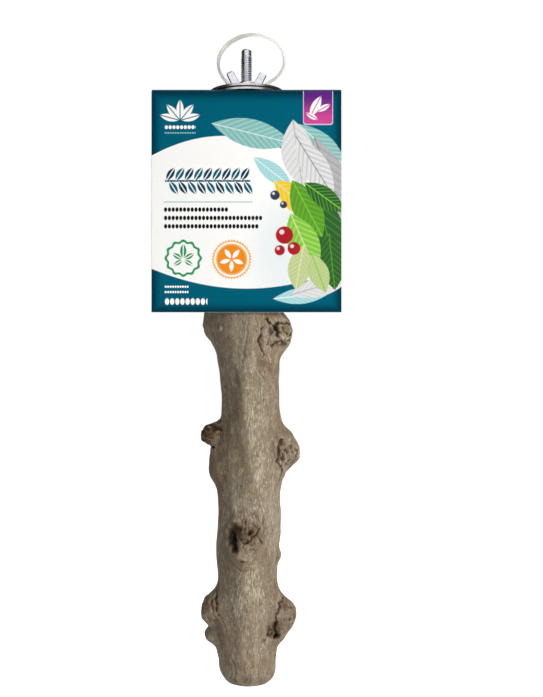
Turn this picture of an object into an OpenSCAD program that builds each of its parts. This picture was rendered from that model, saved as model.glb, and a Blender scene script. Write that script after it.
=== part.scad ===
// Bird perch: a knotty branch with a bolt, two large washers and a wing nut on its top end, a strap tie
// clamped between the washers as a hang loop, and a display card folded over the end of the wood.
// Frame: +Z runs up along the bolt, -Y is the side that shows. The origin is on the bolt's axis, at the
// clamp plane, which is the upper face of the lower washer. Millimetres.

/* [Branch] */
// Length of the branch
wood_length = 320; // [260:1:400]
// Diameter of the branch between its knots
wood_diameter = 35; // [30:0.5:38]
// How far the bevel of the sawn lower end runs along the branch
lower_bevel_length = 10; // [4:0.5:12]
// How far the bevel of the sawn lower end cuts in
lower_bevel_depth = 8; // [2:0.5:8]
// Bevel of the sawn upper end, both ways
upper_bevel = 1.4; // [0.5:0.1:3]

/* [Hanger bolt] */
// Height of the bolt's tip above the clamp plane
bolt_height = 24.9; // [23:0.1:40]
// Outside diameter of the free thread
thread_diameter = 5.9; // [5.6:0.1:5.9]
// Diameter of the stretch that the nut covers, at the thread's flanks
flank_diameter = 5.4; // [5:0.1:5.5]
// Bevel on the tip of the thread
tip_bevel = 0.9; // [0.4:0.1:1.5]
// Diameter of the wood screw end
screw_diameter = 5.8; // [5:0.1:7]
// Length of the wood screw end inside the branch
screw_length = 42; // [30:1:60]
// Length of the point of the wood screw end
screw_point = 8; // [4:0.5:12]

/* [Washers] */
// Outside diameter of both washers
washer_diameter = 40; // [38:0.5:41]
// Thickness of each washer
washer_thickness = 1.25; // [1:0.05:2]
// Hole through each washer
washer_hole = 6.4; // [6.2:0.1:7]
// Rolled edge of each washer
washer_edge = 0.3; // [0.1:0.05:0.5]

/* [Wing nut] */
// Running clearance between the nut's bore and the free thread, on the radius
nut_clearance = 0.05; // [0.02:0.01:0.1]
// Height of the hub
hub_height = 5; // [4:0.1:6]
// Radius of the hub at its foot
hub_foot_radius = 5.4; // [5:0.1:6.5]
// Radius of the hub at its top
hub_top_radius = 4.8; // [4.5:0.1:5.4]
// Bevel on both rims of the hub
hub_bevel = 0.4; // [0.2:0.1:0.7]
// Width of a wing across its flat face
wing_width = 4.2; // [3.4:0.1:5]
// Thickness of a wing
wing_thickness = 2.2; // [1.6:0.1:3]
// Distance from the bolt's axis to a wing's outer end
wing_reach = 11.3; // [10.4:0.1:13]
// Height of a wing's top above the foot of the nut
wing_height = 11.4; // [10.5:0.1:14]
// Lean of the wings from upright
wing_lean = 28; // [22:1:36]
// Rounding of the two corners at a wing's end
wing_round = 0.9; // [0.4:0.1:1.5]
// Bare height above the hub before the free thread starts
thread_relief = 1.4; // [1:0.1:2]
// Turn of the wings about the bolt from the left and right line
nut_yaw = 10; // [0:5:45]

/* [Hang tie] */
// Width of the strap
strap_width = 2.45; // [1.8:0.05:2.8]
// Thickness of the strap
strap_thickness = 0.6; // [0.5:0.05:0.9]
// Play between the strap and each washer that clamps it
strap_play = 0.05; // [0.02:0.01:0.1]
// Radius of the strap's turn round the bolt, which is also half the spread of its legs
turn_radius = 10.3; // [8:0.1:12]
// Radius of the strap's upward bend at the washers' rim
bend_radius = 1.6; // [1.2:0.1:2.5]
// Clear distance from the washers' rim to the inner corner of a leg
rim_clearance = 1.3; // [0.8:0.1:2]
// Height of the arch's top above the clamp plane
arch_height = 34; // [33:0.5:45]
// Half the greatest width of the arch
arch_half_width = 18.4; // [18:0.1:22]
// How far the middle of the arch stands to the right of the bolt
arch_shift = 2.7; // [0:0.1:4]
// Break between the strap's foot and its legs at the bend, where it flexes
flex_break = 0.4; // [0.36:0.01:0.5]
// Width of the locking head
lock_width = 4.6; // [4:0.1:5]
// Depth of the locking head
lock_depth = 3.2; // [2.6:0.1:3.8]
// Height of the locking head
lock_height = 4.4; // [3.5:0.1:5]
// Rounding of the locking head's edges
lock_round = 0.6; // [0.2:0.1:1]
// Height of the locking head's foot above the clamp plane
lock_base = 4.1; // [3.5:0.1:5]
// Length of the cut tail that stands out of the locking head
tail_length = 2.2; // [1:0.1:3]

/* [Display card] */
// Width of the card
card_width = 100.2; // [60:0.1:120]
// Depth of the panel that lies over the end of the wood, from fold to fold
card_depth = 44; // [44:0.5:60]
// Height of the front panel
card_height = 116.7; // [60:0.1:118]
// How much shorter the back panel is than the front panel
back_shortfall = 3; // [0:0.5:10]
// How far both folds hang below the middle of the panel that lies over the end of the wood
fold_drop = 1.8; // [0.5:0.1:2.5]
// Thickness of the card
card_thickness = 0.5; // [0.3:0.05:0.8]
// Hole in the card for the bolt
card_hole = 7; // [6.5:0.1:9]
// Play at each fold
fold_play = 0.05; // [0.03:0.01:0.1]

/* [Hidden] */
$fn = 64;
cut_overrun = 1;
wood_radius = wood_diameter / 2;
clamp_gap = strap_thickness + 2 * strap_play;
card_top_z = -washer_thickness;
wood_top_z = card_top_z - card_thickness;
fold_z = card_top_z - fold_drop;
nut_foot_z = clamp_gap + washer_thickness;
free_thread_z = nut_foot_z + hub_height + thread_relief;
// Height of a wing's root up the hub
wing_root_share = 0.45;
// Place of the cut tail through the depth of the locking head
tail_place_share = 0.55;

// Stem stations from the upper end down: the place as a share of the length, then the middle's X and Y
// and the half widths along X and Y as shares of the wood's radius
stem_shares = [
    [0.000, 0.00, 0.00, 1.02, 1.00],
    [0.063, 0.01, 0.01, 1.05, 1.02],
    [0.143, 0.02, 0.02, 0.98, 0.97],
    [0.223, -0.02, 0.03, 1.06, 1.02],
    [0.303, -0.02, 0.01, 1.06, 1.00],
    [0.372, -0.04, 0.00, 1.15, 1.07],
    [0.402, 0.03, 0.00, 1.13, 1.07],
    [0.442, 0.07, -0.01, 0.99, 0.99],
    [0.502, 0.13, -0.02, 0.90, 0.93],
    [0.552, 0.15, -0.02, 0.93, 0.93],
    [0.601, 0.14, 0.00, 1.08, 1.00],
    [0.631, 0.11, 0.02, 1.06, 1.01],
    [0.671, 0.08, 0.02, 0.98, 0.98],
    [0.721, 0.09, 0.02, 0.98, 1.00],
    [0.771, 0.04, 0.01, 0.98, 1.02],
    [0.821, 0.03, 0.00, 0.93, 0.95],
    [0.870, 0.05, 0.00, 1.10, 1.00],
    [0.900, 0.03, 0.01, 1.09, 1.01],
    [0.940, 0.00, 0.01, 0.95, 0.95],
    [0.970, 0.04, 0.00, 0.90, 0.90],
    [1.000, 0.05, 0.00, 0.88, 0.88]
];

// Knots: the place as a share of the length, its direction (0 is +X, -90 is the front), then the rise,
// half length and half width as shares of the wood's radius, and how steep its flank is
knot_shares = [
    [0.073, -86, 0.10, 0.55, 0.50, 1.3],
    [0.079, 91, 0.13, 0.50, 0.50, 1.4],
    [0.225, 4, 0.30, 0.46, 0.46, 1.5],
    [0.221, 183, 0.27, 0.50, 0.46, 1.5],
    [0.380, 176, 0.13, 0.60, 0.60, 1.2],
    [0.402, -32, 0.36, 0.62, 0.60, 1.6],
    [0.448, -49, 0.11, 0.36, 0.36, 1.4],
    [0.395, 139, 0.25, 0.50, 0.50, 1.5],
    [0.570, 181, 0.52, 0.36, 0.27, 2.2],
    [0.628, 181, 0.21, 0.60, 0.55, 1.5],
    [0.598, -10, 0.44, 0.66, 0.52, 1.5],
    [0.756, -101, 0.24, 0.58, 0.52, 1.6],
    [0.749, 82, 0.27, 0.52, 0.50, 1.5],
    [0.781, -8, 0.08, 0.20, 0.20, 1.3],
    [0.871, 187, 0.36, 0.52, 0.52, 1.5],
    [0.919, 182, 0.28, 0.26, 0.38, 1.5],
    [0.878, -13, 0.40, 0.50, 0.50, 1.5],
    [0.913, -22, 0.17, 0.30, 0.40, 1.4]
];
stem_rings = 78;
stem_sides = 44;
bevel_rings = 4;

// Strap of the arch, from the left leg over the top to the right leg: X from the arch's middle as a
// share of its half width, Y as a share of the legs' set back, Z as a share of the arch's height, then
// the direction of the strap's width: its turn about Z from +X and its rise
arch_shares = [
    [-0.707, 0.975, 0.245, 8, 0],
    [-0.728, 0.955, 0.339, 22, 0],
    [-0.846, 0.920, 0.409, 48, 0],
    [-0.953, 0.850, 0.498, 70, 2],
    [-1.004, 0.750, 0.599, 80, 8],
    [-0.984, 0.640, 0.697, 86, 18],
    [-0.893, 0.520, 0.793, 92, 32],
    [-0.690, 0.390, 0.897, 96, 44],
    [-0.387, 0.250, 0.971, 94, 46],
    [-0.147, 0.160, 0.994, 92, 43],
    [0.093, 0.120, 1.000, 90, 41],
    [0.333, 0.150, 0.985, 88, 38],
    [0.575, 0.250, 0.949, 86, 33],
    [0.794, 0.370, 0.883, 86, 25],
    [0.938, 0.490, 0.791, 88, 16],
    [0.999, 0.620, 0.677, 92, 8],
    [0.988, 0.730, 0.579, 96, 3],
    [0.900, 0.820, 0.494, 104, 0],
    [0.739, 0.900, 0.406, 124, 0],
    [0.564, 0.945, 0.351, 150, 0],
    [0.430, 0.970, 0.270, 168, 0]
];
arch_steps = 3;
leg_steps = 3;
leg_share = 0.14;

function unit(v) = v / norm(v);
function wrapped(angle) = angle - 360 * round(angle / 360);

// Smooth curve through rows of a table whose first column is the place along it
function table_slope(table, i) =
    let (low = max(i - 1, 0), high = min(i + 1, len(table) - 1))
    (table[high] - table[low]) / (table[high][0] - table[low][0]);
function table_row(table, place, i = 0) =
    i < len(table) - 2 && place > table[i + 1][0] ? table_row(table, place, i + 1) : i;
function table_value(table, place) =
    let (
        i = table_row(table, place),
        span = table[i + 1][0] - table[i][0],
        t = (place - table[i][0]) / span
    )
    (2 * pow(t, 3) - 3 * pow(t, 2) + 1) * table[i]
    + (pow(t, 3) - 2 * pow(t, 2) + t) * span * table_slope(table, i)
    + (3 * pow(t, 2) - 2 * pow(t, 3)) * table[i + 1]
    + (pow(t, 3) - pow(t, 2)) * span * table_slope(table, i + 1);

// Rise of all the knots above the stem, as a share of the wood's radius
function knot_rise(place, angle, i = 0) =
    i == len(knot_shares) ? 0 :
    let (
        knot = knot_shares[i],
        along = (place - knot[0]) * wood_length / wood_radius / knot[3],
        round_it = wrapped(angle - knot[1]) * PI / 180 / knot[4]
    )
    knot[2] * exp(-pow(along * along + round_it * round_it, knot[5])) + knot_rise(place, angle, i + 1);

// How much the bevels of the two sawn ends take off the radius, at a distance from the upper end
function bevel_cut(distance) =
    let (
        low = max(0, (distance - wood_length + lower_bevel_length) / lower_bevel_length),
        high = max(0, (upper_bevel - distance) / upper_bevel)
    )
    lower_bevel_depth * (1 - sqrt(max(0, 1 - low * low))) + upper_bevel * (1 - sqrt(max(0, 1 - high * high)));

function stem_point(distance, angle) =
    let (
        place = distance / wood_length,
        stem = table_value(stem_shares, place) * wood_radius,
        rise = knot_rise(place, angle) * wood_radius - bevel_cut(distance)
    )
    [
        stem[1] + (stem[3] + rise) * cos(angle),
        stem[2] + (stem[4] + rise) * sin(angle),
        wood_top_z - distance
    ];

// Closed skin through rings of points, each ring turning anticlockwise seen from the first one's side
module skin(rings) {
    sides = len(rings[0]);
    last = len(rings) - 1;
    polyhedron(
        points = [for (ring = rings) each ring],
        faces = concat(
            [[for (j = [sides - 1:-1:0]) j]],
            [[for (j = [0:sides - 1]) last * sides + j]],
            [for (i = [0:last - 1]) for (j = [0:sides - 1])
                let (k = (j + 1) % sides)
                each [
                    [i * sides + j, i * sides + k, (i + 1) * sides + k],
                    [i * sides + j, (i + 1) * sides + k, (i + 1) * sides + j]
                ]]
        ),
        convexity = 8
    );
}

module branch() {
    plain_length = wood_length - upper_bevel - lower_bevel_length;
    distances = concat(
        [for (i = [0:bevel_rings - 1]) upper_bevel * i / bevel_rings],
        [for (i = [0:stem_rings]) upper_bevel + plain_length * i / stem_rings],
        [for (i = [1:bevel_rings]) wood_length - lower_bevel_length * (1 - sin(90 * i / bevel_rings))]
    );
    color([0.56, 0.49, 0.41])
    difference() {
        skin([for (d = distances) [for (j = [0:stem_sides - 1]) stem_point(d, 360 * j / stem_sides)]]);
        translate([0, 0, wood_top_z - screw_length])
            cylinder(h = screw_length + cut_overrun, d = screw_diameter);
    }
}

module hanger_bolt() {
    thread_radius = thread_diameter / 2;
    flank_radius = flank_diameter / 2;
    screw_radius = screw_diameter / 2;
    screw_tip_z = wood_top_z - screw_length;
    color([0.72, 0.74, 0.77])
    rotate_extrude()
        polygon([
            [0, screw_tip_z],
            [screw_radius, screw_tip_z + screw_point],
            [screw_radius, wood_top_z],
            [flank_radius, wood_top_z],
            [flank_radius, free_thread_z],
            [thread_radius, free_thread_z],
            [thread_radius, bolt_height - tip_bevel],
            [thread_radius - tip_bevel, bolt_height],
            [0, bolt_height]
        ]);
}

module flat_washer(foot_z) {
    inner = washer_hole / 2;
    outer = washer_diameter / 2;
    translate([0, 0, foot_z])
    rotate_extrude($fn = 128)
        polygon([
            [inner, 0],
            [outer - washer_edge, 0],
            [outer, washer_edge],
            [outer, washer_thickness - washer_edge],
            [outer - washer_edge, washer_thickness],
            [inner, washer_thickness]
        ]);
}

module washer_lower() {
    color([0.66, 0.65, 0.65]) flat_washer(-washer_thickness);
}

module washer_upper() {
    color([0.70, 0.69, 0.69]) flat_washer(clamp_gap);
}

// Outline of one wing, a tab with a square end and rounded corners that leans away from the bolt
module wing_outline() {
    half = wing_width / 2;
    end_x = wing_reach - half * cos(wing_lean);
    end_z = wing_height - half * sin(wing_lean);
    root_z = hub_height * wing_root_share;
    tab_length = (end_z - root_z) / cos(wing_lean);
    translate([end_x, end_z])
    rotate(-wing_lean) {
        translate([-half, -tab_length]) square([wing_width, tab_length - wing_round]);
        translate([wing_round - half, -tab_length]) square([wing_width - 2 * wing_round, tab_length]);
        for (side = [-1, 1])
            translate([side * (half - wing_round), -wing_round]) circle(r = wing_round);
    }
}

module wing_nut() {
    bore_radius = thread_diameter / 2 + nut_clearance;
    color([0.80, 0.81, 0.83])
    translate([0, 0, nut_foot_z])
    rotate([0, 0, nut_yaw])
    difference() {
        union() {
            rotate_extrude()
                polygon([
                    [0, 0],
                    [hub_foot_radius - hub_bevel, 0],
                    [hub_foot_radius, hub_bevel],
                    [hub_top_radius, hub_height - hub_bevel],
                    [hub_top_radius - hub_bevel, hub_height],
                    [0, hub_height]
                ]);
            for (side = [0, 180])
                rotate([0, 0, side])
                rotate([90, 0, 0])
                translate([0, 0, -wing_thickness / 2])
                linear_extrude(wing_thickness) wing_outline();
        }
        translate([0, 0, -cut_overrun])
            cylinder(h = wing_height + 2 * cut_overrun, r = bore_radius);
    }
}

// Where the strap runs: its mid height between the washers, where its legs leave the rim and turn up
strap_z = clamp_gap / 2;
leg_back = sqrt(pow(washer_diameter / 2 + rim_clearance, 2) - pow(turn_radius - strap_width / 2, 2))
    + strap_thickness / 2;
bend_y = leg_back - bend_radius;
bend_z = strap_z + bend_radius;
flex_angle = 45;
break_angle = flex_break / bend_radius * 180 / PI / 2;
function bend_point(side, angle) =
    [side * turn_radius, bend_y + bend_radius * sin(angle), bend_z - bend_radius * cos(angle)];

module hang_tie_foot() {
    half = strap_width / 2;
    color([0.86, 0.87, 0.86]) {
        translate([0, 0, strap_z - strap_thickness / 2])
        linear_extrude(strap_thickness) {
            intersection() {
                difference() {
                    circle(r = turn_radius + half);
                    circle(r = turn_radius - half);
                }
                translate([-washer_diameter, -washer_diameter])
                    square([2 * washer_diameter, washer_diameter]);
            }
            for (side = [-1, 1])
                translate([side * turn_radius - half, 0]) square([strap_width, bend_y]);
        }
        for (side = [-1, 1])
            translate([side * turn_radius, bend_y, bend_z])
            rotate([0, 90, 0])
            rotate_extrude(angle = flex_angle - break_angle)
            translate([bend_radius - strap_thickness / 2, -half])
            square([strap_thickness, strap_width]);
    }
}

// Stations of the loop: a point and the direction of the strap's width
function leg_stations(side) = [
    for (i = [0:leg_steps])
        let (angle = flex_angle + break_angle + (90 - flex_angle - break_angle) * i / leg_steps)
        [bend_point(side, angle), [1, 0, 0]]
];
function arch_point(row) = [
    arch_shift + row[0] * arch_half_width,
    row[1] * leg_back,
    row[2] * arch_height
];
function width_way(row) = [cos(row[3]) * cos(row[4]), sin(row[3]) * cos(row[4]), sin(row[4])];
function straight_station(side) = [[side * turn_radius, leg_back, leg_share * arch_height], [1, 0, 0]];
function turned(stations) = [for (i = [len(stations) - 1:-1:0]) [stations[i][0], -stations[i][1]]];
function curve_point(a, b, c, d, t) =
    0.5 * (2 * b + (c - a) * t + (2 * a - 5 * b + 4 * c - d) * t * t + (3 * b - a - 3 * c + d) * pow(t, 3));

rough_stations = concat(
    [straight_station(-1)],
    [for (row = arch_shares) [arch_point(row), width_way(row)]],
    turned([straight_station(1)])
);
fine_stations = [
    for (i = [0:len(rough_stations) - 2]) for (k = [0:arch_steps - 1])
        let (
            last = len(rough_stations) - 1,
            a = rough_stations[max(i - 1, 0)],
            b = rough_stations[i],
            c = rough_stations[i + 1],
            d = rough_stations[min(i + 2, last)],
            t = k / arch_steps
        )
        [curve_point(a[0], b[0], c[0], d[0], t), curve_point(a[1], b[1], c[1], d[1], t)]
];
loop_stations = concat(
    leg_stations(-1),
    fine_stations,
    turned([straight_station(1)]),
    turned(leg_stations(1))
);
// Corners of the strap's section, as shares of half its width and half its thickness
section_shares = [[1, 0.5], [0.85, 1], [-0.85, 1], [-1, 0.5], [-1, -0.5], [-0.85, -1], [0.85, -1], [1, -0.5]];

function station_way(i) =
    let (last = len(loop_stations) - 1)
    unit(loop_stations[min(i + 1, last)][0] - loop_stations[max(i - 1, 0)][0]);
function strap_ring(i) =
    let (
        end_way = [0, cos(flex_angle + break_angle), sin(flex_angle + break_angle)],
        way = i == 0 ? end_way : i == len(loop_stations) - 1 ? -end_way : station_way(i),
        raw = loop_stations[i][1],
        across = unit(raw - way * (raw * way)),
        normal = cross(way, across)
    )
    [for (s = section_shares)
        loop_stations[i][0] + across * s[0] * strap_width / 2 + normal * s[1] * strap_thickness / 2];

module rounded_block(size, radius) {
    linear_extrude(size[2]) {
        translate([-size[0] / 2 + radius, -size[1] / 2]) square([size[0] - 2 * radius, size[1]]);
        translate([-size[0] / 2, -size[1] / 2 + radius]) square([size[0], size[1] - 2 * radius]);
        for (x = [-1, 1]) for (y = [-1, 1])
            translate([x * (size[0] / 2 - radius), y * (size[1] / 2 - radius)]) circle(r = radius);
    }
}

module hang_tie_loop() {
    color([0.88, 0.89, 0.88]) {
        skin([for (i = [len(loop_stations) - 1:-1:0]) strap_ring(i)]);
        translate([turn_radius, leg_back - strap_thickness / 2 + lock_depth / 2, lock_base])
            rounded_block([lock_width, lock_depth, lock_height], lock_round);
        translate([
            turn_radius - strap_width / 2,
            leg_back - strap_thickness / 2 + lock_depth * tail_place_share,
            lock_base + lock_height - cut_overrun
        ])
            cube([strap_width, strap_thickness, tail_length + cut_overrun]);
    }
}

// The panel over the end of the wood, seen from the side: flat on the wood, then down to each fold
module card_top_panel() {
    fold_y = card_depth / 2;
    color([0.00, 0.33, 0.42])
    difference() {
        translate([-card_width / 2, 0, 0])
        rotate([90, 0, 90])
        linear_extrude(card_width)
        polygon([
            [-fold_y, fold_z],
            [-wood_radius, card_top_z],
            [wood_radius, card_top_z],
            [fold_y, fold_z],
            [fold_y, fold_z - card_thickness],
            [wood_radius, wood_top_z],
            [-wood_radius, wood_top_z],
            [-fold_y, fold_z - card_thickness]
        ]);
        translate([0, 0, wood_top_z - cut_overrun])
            cylinder(h = card_thickness + 2 * cut_overrun, d = card_hole);
    }
}

module hanging_panel(inner_y, height) {
    translate([-card_width / 2, inner_y, fold_z - height])
        cube([card_width, card_thickness, height]);
}

module card_front_panel() {
    color([0.00, 0.36, 0.45]) hanging_panel(-card_depth / 2 - fold_play - card_thickness, card_height);
}

module card_back_panel() {
    color([0.00, 0.36, 0.45]) hanging_panel(card_depth / 2 + fold_play, card_height - back_shortfall);
}

branch();
hanger_bolt();
washer_lower();
washer_upper();
wing_nut();
hang_tie_foot();
hang_tie_loop();
card_top_panel();
card_front_panel();
card_back_panel();
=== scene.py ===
# %% [markdown]
# # A knotty wooden perch
# The object is a length of debarked branch with a steel fixing on its top end: two large washers, a wing
# nut and the threaded end of a hanger bolt. A nylon strap tie makes a hang loop, and a printed card is
# folded over the wood. The construction model gives every piece its place and size. This lesson dresses
# it: each surface is a formula worked out on a grid with numpy, and each finish is a set of shader nodes.

# %% Load the construction model
import math

import bpy
import numpy as np
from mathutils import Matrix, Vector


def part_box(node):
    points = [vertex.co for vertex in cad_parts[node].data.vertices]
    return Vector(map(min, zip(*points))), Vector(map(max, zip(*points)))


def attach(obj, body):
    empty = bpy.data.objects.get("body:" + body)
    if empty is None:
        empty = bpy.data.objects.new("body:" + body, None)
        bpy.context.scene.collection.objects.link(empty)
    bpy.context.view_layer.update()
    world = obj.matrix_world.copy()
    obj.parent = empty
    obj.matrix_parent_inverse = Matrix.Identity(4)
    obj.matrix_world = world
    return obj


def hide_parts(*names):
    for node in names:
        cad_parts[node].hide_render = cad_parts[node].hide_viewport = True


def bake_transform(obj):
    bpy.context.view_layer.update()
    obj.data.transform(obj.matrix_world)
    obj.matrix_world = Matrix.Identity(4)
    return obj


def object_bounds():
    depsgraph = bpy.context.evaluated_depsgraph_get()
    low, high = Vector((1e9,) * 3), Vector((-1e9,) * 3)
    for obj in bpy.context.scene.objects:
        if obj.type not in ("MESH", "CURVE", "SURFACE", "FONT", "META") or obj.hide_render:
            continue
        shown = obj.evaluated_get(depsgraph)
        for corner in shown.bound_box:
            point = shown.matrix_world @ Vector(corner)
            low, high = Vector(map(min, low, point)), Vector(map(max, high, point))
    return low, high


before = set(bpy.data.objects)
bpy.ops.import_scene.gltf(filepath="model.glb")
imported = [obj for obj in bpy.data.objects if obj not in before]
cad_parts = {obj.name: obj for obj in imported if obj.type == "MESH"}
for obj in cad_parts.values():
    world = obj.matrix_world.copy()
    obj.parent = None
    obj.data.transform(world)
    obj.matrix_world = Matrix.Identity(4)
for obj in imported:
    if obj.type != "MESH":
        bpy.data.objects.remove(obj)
cad_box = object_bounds()
scene = bpy.context.scene
MM = 0.001
print("height of the construction model, mm:", round((cad_box[1] - cad_box[0])[2] / MM, 1))

# %% [markdown]
# ## Camera
# The photograph was taken straight on from the height of the branch's middle, so the washers are seen
# from below and the lower end from above. A level camera with a long lens, moved sideways by its shift,
# gives the same view. The picture is 543 by 697 pixels, and the lens follows from the view's height.

# %% Set up the camera
PICTURE_HEIGHT = 697
PICTURE_MIDDLE_X = 271.5
BOLT_X = 246.5
VIEW_DISTANCE = 0.573
EYE_HEIGHT = -0.13879
SENSOR = 36.0
PIXELS_PER_RADIAN = 1045
NEAREST_SEEN = 0.01

camera_data = bpy.data.cameras.new("camera")
camera_data.sensor_fit = "VERTICAL"
camera_data.sensor_height = SENSOR
camera_data.lens = SENSOR * PIXELS_PER_RADIAN / PICTURE_HEIGHT
camera_data.shift_x = (PICTURE_MIDDLE_X - BOLT_X) / PICTURE_HEIGHT
camera_data.clip_start = NEAREST_SEEN
camera = bpy.data.objects.new("camera", camera_data)
camera.location = (0, -VIEW_DISTANCE, EYE_HEIGHT)
camera.rotation_euler = (math.pi / 2, 0, 0)
scene.collection.objects.link(camera)
scene.camera = camera
scene.view_settings.view_transform = "Standard"
print("lens, mm:", round(camera_data.lens, 2))

# %% [markdown]
# ## A short way to write shader nodes
# Each finish below is a graph of nodes. Nodes can be placed by hand in the shader editor, but this object
# has more than ten finishes of a like build, so a small helper adds one node per call and returns its
# output. A finish then reads like a formula.


# %% Node helper
class Finish:
    """The node graph of one material. Each call adds one node and returns its output socket."""

    def __init__(self, name):
        """Start from a new material's own shader."""
        self.material = bpy.data.materials.new(name)
        self.material.use_nodes = True
        self.tree = self.material.node_tree
        self.shader = self.tree.nodes["Principled BSDF"]

    def feed(self, socket, value):
        """Link an output to a socket, or set a plain value on it."""
        if isinstance(value, bpy.types.NodeSocket):
            self.tree.links.new(value, socket)
        else:
            socket.default_value = value

    def add(self, kind, inputs=(), output=0, **settings):
        """One node of a kind, with its inputs fed and its settings set."""
        node = self.tree.nodes.new(kind)
        for key, value in settings.items():
            setattr(node, key, value)
        for key, value in dict(inputs).items():
            self.feed(node.inputs[key], value)
        return node.outputs[output]

    def place(self):
        """Coordinates of the surface on its object, in metres."""
        return self.add("ShaderNodeTexCoord", (), "Object")

    def axes(self, vector):
        """The X, Y and Z of a vector, by name."""
        return self.add("ShaderNodeSeparateXYZ", {0: vector}).node.outputs

    def sum(self, operation, first, second=0.0, third=0.0):
        """One step of arithmetic on up to three values."""
        return self.add("ShaderNodeMath", {0: first, 1: second, 2: third}, operation=operation)

    def mix(self, share, first, second, blend="MIX"):
        """First times one minus the share, plus second times the share."""
        inputs = {0: share, 6: first, 7: second}
        return self.add("ShaderNodeMix", inputs, 2, data_type="RGBA", blend_type=blend)

    def band(self, value, low, high, to_low=0.0, to_high=1.0):
        """A smooth step from to_low, where the value is low, to to_high, where it is high."""
        inputs = {0: value, 1: low, 2: high, 3: to_low, 4: to_high}
        return self.add("ShaderNodeMapRange", inputs, interpolation_type="SMOOTHSTEP")

    def stretch(self, vector, scale):
        """A vector times a scale for each axis."""
        return self.add("ShaderNodeMapping", {"Vector": vector, "Scale": scale})

    def noise(self, vector, scale, detail=2.0, roughness=0.5):
        """Cloudy noise from 0 to 1: detail is the number of finer layers, roughness their strength."""
        inputs = {"Vector": vector, "Scale": scale, "Detail": detail, "Roughness": roughness}
        return self.add("ShaderNodeTexNoise", inputs)

    def attribute(self, name, output="Fac"):
        """A value that the mesh carries at each of its points."""
        return self.add("ShaderNodeAttribute", (), output, attribute_name=name)

    def bump(self, height, strength, distance, normal=None):
        """A normal tilted by the slope of a height, over another normal if one is given."""
        inputs = {"Height": height, "Strength": strength, "Distance": distance}
        if normal is not None:
            inputs["Normal"] = normal
        return self.add("ShaderNodeBump", inputs)

    def set(self, **inputs):
        """Feed the shader's own sockets by name and return the material."""
        for key, value in inputs.items():
            self.feed(self.shader.inputs[key.replace("_", " ")], value)
        return self.material


print("node helper ready")

# %% [markdown]
# ## Studio
# The photograph has a pure white ground and soft light that is stronger from the right, so the left
# flank of the wood is about half as bright as the right one. An even grey world could light it alone, but
# flatly. So the world is dim for diffuse light and pure white to the camera. One soft lamp stands at the
# right, a weak one hangs above, and a wide one behind lights the far side and the edges. The bolt and the
# nut have black edges in the photograph, as metal has when dark cards stand beside it. Dark cards
# therefore stand at both sides, at the rear corners and above the left side, where only reflections see
# them.

# %% World
WORLD_LEVEL = 0.20
world = bpy.data.worlds.new("studio")
world.use_nodes = True
scene.world = world
sky = world.node_tree
ray = sky.nodes.new("ShaderNodeLightPath").outputs


def either(first, second):
    """An output of the world's nodes that is 1 where one of two outputs is 1: the larger of them."""
    larger = sky.nodes.new("ShaderNodeMath")
    larger.operation = "MAXIMUM"
    sky.links.new(first, larger.inputs[0])
    sky.links.new(second, larger.inputs[1])
    return larger.outputs[0]


seen = either(ray["Is Camera Ray"], either(ray["Is Glossy Ray"], ray["Is Transmission Ray"]))
level = sky.nodes.new("ShaderNodeMapRange")
level.inputs["To Min"].default_value = WORLD_LEVEL
level.inputs["To Max"].default_value = 1.0
sky.links.new(seen, level.inputs["Value"])
sky.nodes["Background"].inputs["Color"].default_value = (1, 1, 1, 1)
sky.links.new(level.outputs[0], sky.nodes["Background"].inputs["Strength"])
print("strength of the world for diffuse light:", WORLD_LEVEL)


# %% Lamps
def soft_lamp(name, place, aim, size, watts, tint):
    """A square area lamp at a place, turned by the two angles of the line from a point to it."""
    data = bpy.data.lights.new(name, "AREA")
    data.size = size
    data.energy = watts
    data.color = tint
    lamp = bpy.data.objects.new(name, data)
    lamp.location = place
    away = np.array(place) - np.array(aim)
    lamp.rotation_euler = (
        math.acos(away[2] / np.linalg.norm(away)),
        0,
        math.atan2(away[1], away[0]) + math.pi / 2,
    )
    lamp.visible_glossy = False
    scene.collection.objects.link(lamp)
    print(name, "gives", watts, "watts")


soft_lamp("key_lamp", (0.68, -0.70, 0.0), (0, 0, -0.16), 0.45, 8.6, (1.0, 0.985, 0.95))
soft_lamp("top_lamp", (0.1, -0.45, 0.75), (0, 0, -0.1), 0.6, 1.2, (0.97, 0.985, 1.0))
soft_lamp("back_lamp", (-0.2, 1.0, 0.35), (0, 0, -0.15), 0.8, 6.0, (1.0, 1.0, 1.0))

# %% Dark cards
CARDS_FOOT, CARDS_TOP = -0.5, 0.3
CARD_DISTANCE = 0.34
CARD_FRONT, CARD_CORNER, CARD_REAR = -0.31, 0.55, 1.15
REAR_SHARE = 0.3


def flat_panel(name, corners, material):
    """One flat face through four corners, which is part of the studio and not of the object."""
    mesh = bpy.data.meshes.new(name)
    mesh.from_pydata(corners, [], [(0, 1, 2, 3)])
    mesh.materials.append(material)
    panel = bpy.data.objects.new(name, mesh)
    scene.collection.objects.link(panel)
    return panel


def upright(start, end):
    """Corners of an upright panel whose foot runs from one place (X, Y) to another."""
    low, high = CARDS_FOOT, CARDS_TOP
    return [(*start, low), (*end, low), (*end, high), (*start, high)]


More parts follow.
